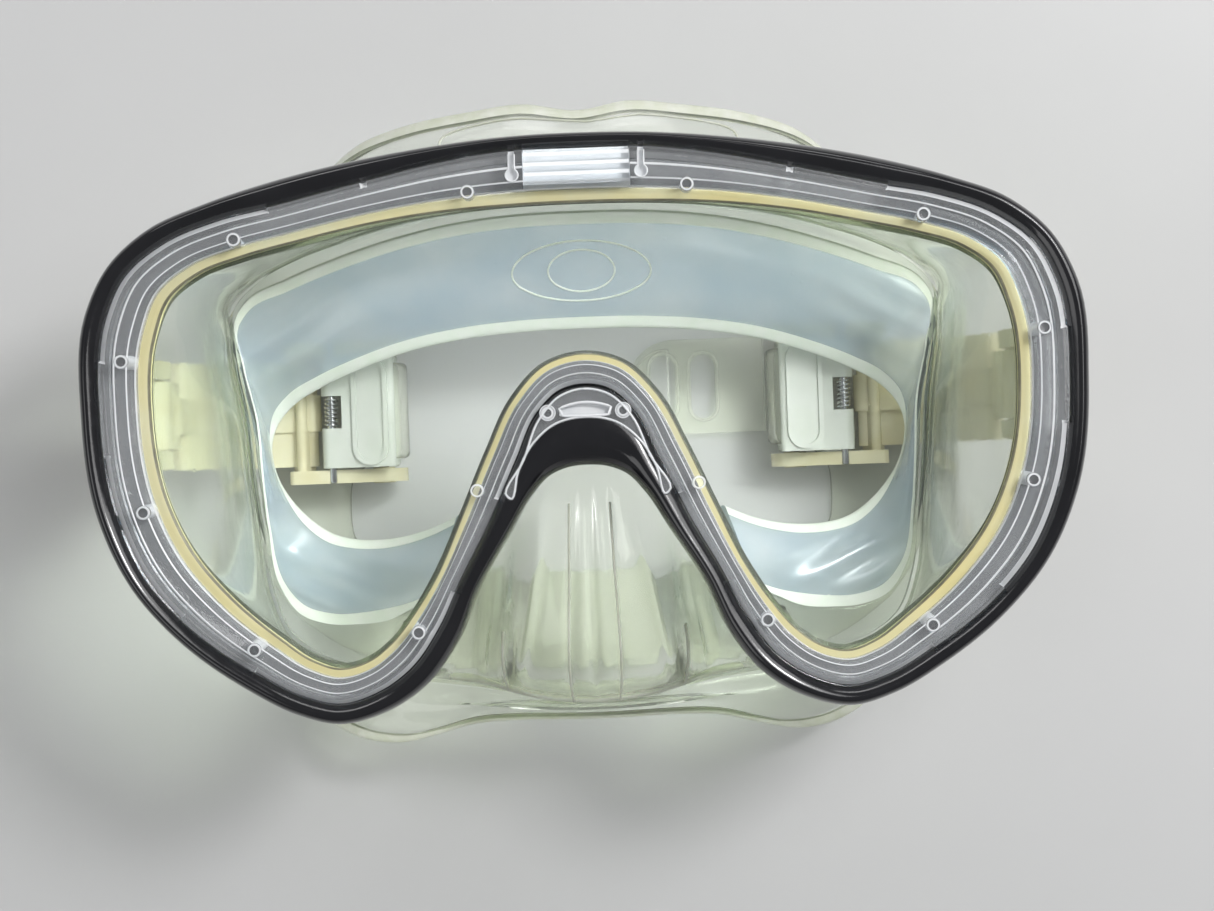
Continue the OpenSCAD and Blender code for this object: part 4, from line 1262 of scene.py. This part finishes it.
def strap_pad():
    """Middle of the strap, a little wider and thicker than its sides."""
    upper = [(0, 10.4), (14, 10.3), (20, 10), (22.8, 8)]
    half = np.array([*upper, (23.4, 0), *((x, -y) for x, y in reversed(upper))])
    outline = curve(loop(half), 6) + (0, STRAP_BACK_Y)
    bm = bmesh.new()
    prism(bm, outline, FLOOR_Z, 2.3)
    piece = finish_mesh("strap_pad", bm, "strap_silicone", sharp=50)
    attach(piece, "mask")
    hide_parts("strap_back")
    bevel(piece, 0.5, 3, 50)


def tail_height(x):
    """Height of the middle of the strap's free end, which rises to the roller."""
    return np.interp(x, (4, 15, 24, 30, 35.6), (1.4, 1.4, 1.6, 2.6, 4.7))


def bend_tail(bm):
    """Cuts the flat tail across, so that it can follow its height."""
    for x in np.arange(9, 36, 1.2):
        geometry = bm.verts[:] + bm.edges[:] + bm.faces[:]
        bmesh.ops.bisect_plane(bm, geom=geometry, plane_co=(x * MM, 0, 0), plane_no=(1, 0, 0))
    for v in bm.verts:
        v.co.z += tail_height(v.co.x / MM) * MM


def strap_tail():
    """Free end of the strap, with two oval slots whose rims stand up."""
    y, tip, root, w, t = 7.8, 8.0, 35.6, STRAP_W / 2, STRAP_T / 2
    slots = (15.4, 23.4)
    outline = np.vstack([circle(tip + w, y, w, 40, 90, 270), [(root, y - w), (root, y + w)]])
    bm = bmesh.new()
    prism(bm, outline, -t, t)
    piece = finish_mesh("strap_tail", bm, "strap_silicone", sharp=50)
    cut = bmesh.new()
    for x in slots:
        prism(cut, hull_outline((x, y - 4, 2.4), (x, y + 4, 2.4)), -4, 4)
    combine(piece, cut, "DIFFERENCE", 50)
    bm = bmesh.new()
    bm.from_mesh(piece.data)
    bend_tail(bm)
    bm.to_mesh(piece.data)
    bm.free()
    smooth(piece, 50)
    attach(piece, "buckle_right")
    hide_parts("strap_tail_right")
    bevel(piece, 0.4, 3, 50)
    bm = bmesh.new()

    def rim(outline, radius, closed):
        tube(bm, [(px, py, tail_height(px) + t - 0.05) for px, py in outline], radius, 8, closed)

    for x in slots:
        rim(hull_outline((x, y - 4, 2.95), (x, y + 4, 2.95)), 0.28, True)
    panel_end = 33
    panel = hull_outline((16.4, y, 7.6), (panel_end, y, 7.6))
    rim(panel[panel[:, 0] < panel_end], 0.25, False)
    finish_mesh("tail_rims", bm, "strap_silicone", "buckle_right")


# ---- Embossing on the silicone: plain ovals, in place of any mark
def on_grid(grid, r, c):
    """A point of a grid at fractional row and column."""
    r0, c0 = int(r), int(c)
    r1, c1 = min(r0 + 1, grid.shape[0] - 1), min(c0 + 1, grid.shape[1] - 1)
    fr, fc = r - r0, c - c0
    near = grid[r0, c0] * (1 - fc) + grid[r0, c1] * fc
    return near * (1 - fr) + (grid[r1, c0] * (1 - fc) + grid[r1, c1] * fc) * fr


def forehead_ovals(seal):
    """Two raised ovals, one in the other, on the middle of the face seal, painted near white as highlights.
    """
    bm = bmesh.new()
    middle = (seal.shape[1] - 1) / 2
    brow_step = 11.5  # distance between the seal's control points at the brow
    for half_w, half_h in ((13.4, 0.27), (6.4, 0.19)):
        path = []
        for a in np.linspace(0, 2 * math.pi, 72, endpoint=False):
            row = SEAL_STEPS + (0.5 + half_h * math.sin(a)) * 3 * SEAL_STEPS
            column = middle + half_w / brow_step * SEAL_STEPS * math.cos(a)
            path.append(on_grid(seal, row, column) + (0, 0, 0.05))
        tube(bm, path, 0.2, 6, True)
    finish_mesh("forehead_ovals", bm, "seal_highlight", "mask", sharp=80)


# ---- All the pieces
FRONT_PIECES = (frame_shell, retaining_ring, snap_pins, glass_pane, brow_clip, crescent_plate, plate_pins)
for build in (*FRONT_PIECES, raised_outlines, gasket_band, pocket_rim):
    build()
skirt = skirt_shell()
flange_panel(skirt)
pocket_lines(skirt)
forehead_ovals(face_seal())
for side_name, side_sign in SIDES.items():
    side_bracket(side_name, side_sign)
    buckle = "buckle_" + side_name
    for rod, node, body, x, z, d, width in (
        ("hinge_rod_", "hinge_pin_", "mask", HINGE_X, HINGE_Z, HINGE_D, 21),
        ("roller_rod_", "roller_axle_", buckle, ROLLER_X, ROLLER_Z, AXLE_D, YOKE_W + 0.3),
        ("lever_rod_", "lever_pin_", buckle, LEVER_X, LEVER_Z, LEVER_D, YOKE_W),
    ):
        pin_piece(rod + side_name, x, z, d, width, body, node + side_name, side_sign)
    for build in (buckle_arm, thumb_lever, lever_coil, tongue_lines, roller_sleeve, strap_side):
        build(side_name, side_sign)
strap_pad()
strap_tail()


# ---- Stage, lights and camera
def stage():
    bpy.ops.mesh.primitive_plane_add(size=4, location=(0, 0, 0))
    floor = bpy.context.object
    floor.name = "floor"
    floor.data.materials.append(pale_floor())


def area_light(name, place, aim, size, power):
    """A rectangular lamp, in metres and watts, that faces the point aim."""
    data = bpy.data.lights.new(name, "AREA")
    data.shape = "RECTANGLE"
    data.size, data.size_y = size
    data.energy = power
    lamp = bpy.data.objects.new(name, data)
    lamp.location = place
    lamp.rotation_euler = (Vector(aim) - Vector(place)).to_track_quat("-Z", "Y").to_euler()
    bpy.context.scene.collection.objects.link(lamp)


def camera():
    """Looks straight down, turned a little, from nearly half a metre up."""
    data = bpy.data.cameras.new("camera")
    data.sensor_width = 36
    data.lens = 71.46
    data.clip_start, data.clip_end = 0.01, 10
    piece = bpy.data.objects.new("camera", data)
    piece.location = (0.0035, -0.0055, 0.490)
    piece.rotation_euler = (0, 0, math.radians(-2.15))
    bpy.context.scene.collection.objects.link(piece)
    bpy.context.scene.camera = piece


stage()
camera()
area_light("key", (0.52, 0.34, 0.74), (0, 0, 0.03), (0.5, 0.9), 4.6)
area_light("flank", (0.37, 0.25, 0.66), (0.02, -0.02, 0.06), (0.15, 0.15), 2.4)
area_light("fill", (-0.62, -0.28, 0.62), (0, 0, 0.03), (0.7, 0.5), 1.6)
area_light("brow", (-0.1, 0.75, 0.42), (0, 0.02, 0.05), (0.9, 0.12), 1.4)
world = bpy.data.worlds.new("world")
world.use_nodes = True
world.node_tree.nodes["Background"].inputs["Color"].default_value = (0.93, 0.95, 1.0, 1)
world.node_tree.nodes["Background"].inputs["Strength"].default_value = 0.24
scene = bpy.context.scene
scene.world = world
scene.view_settings.view_transform = "Standard"
scene.cycles.max_bounces = 24
scene.cycles.transmission_bounces = 24
scene.cycles.transparent_max_bounces = 16
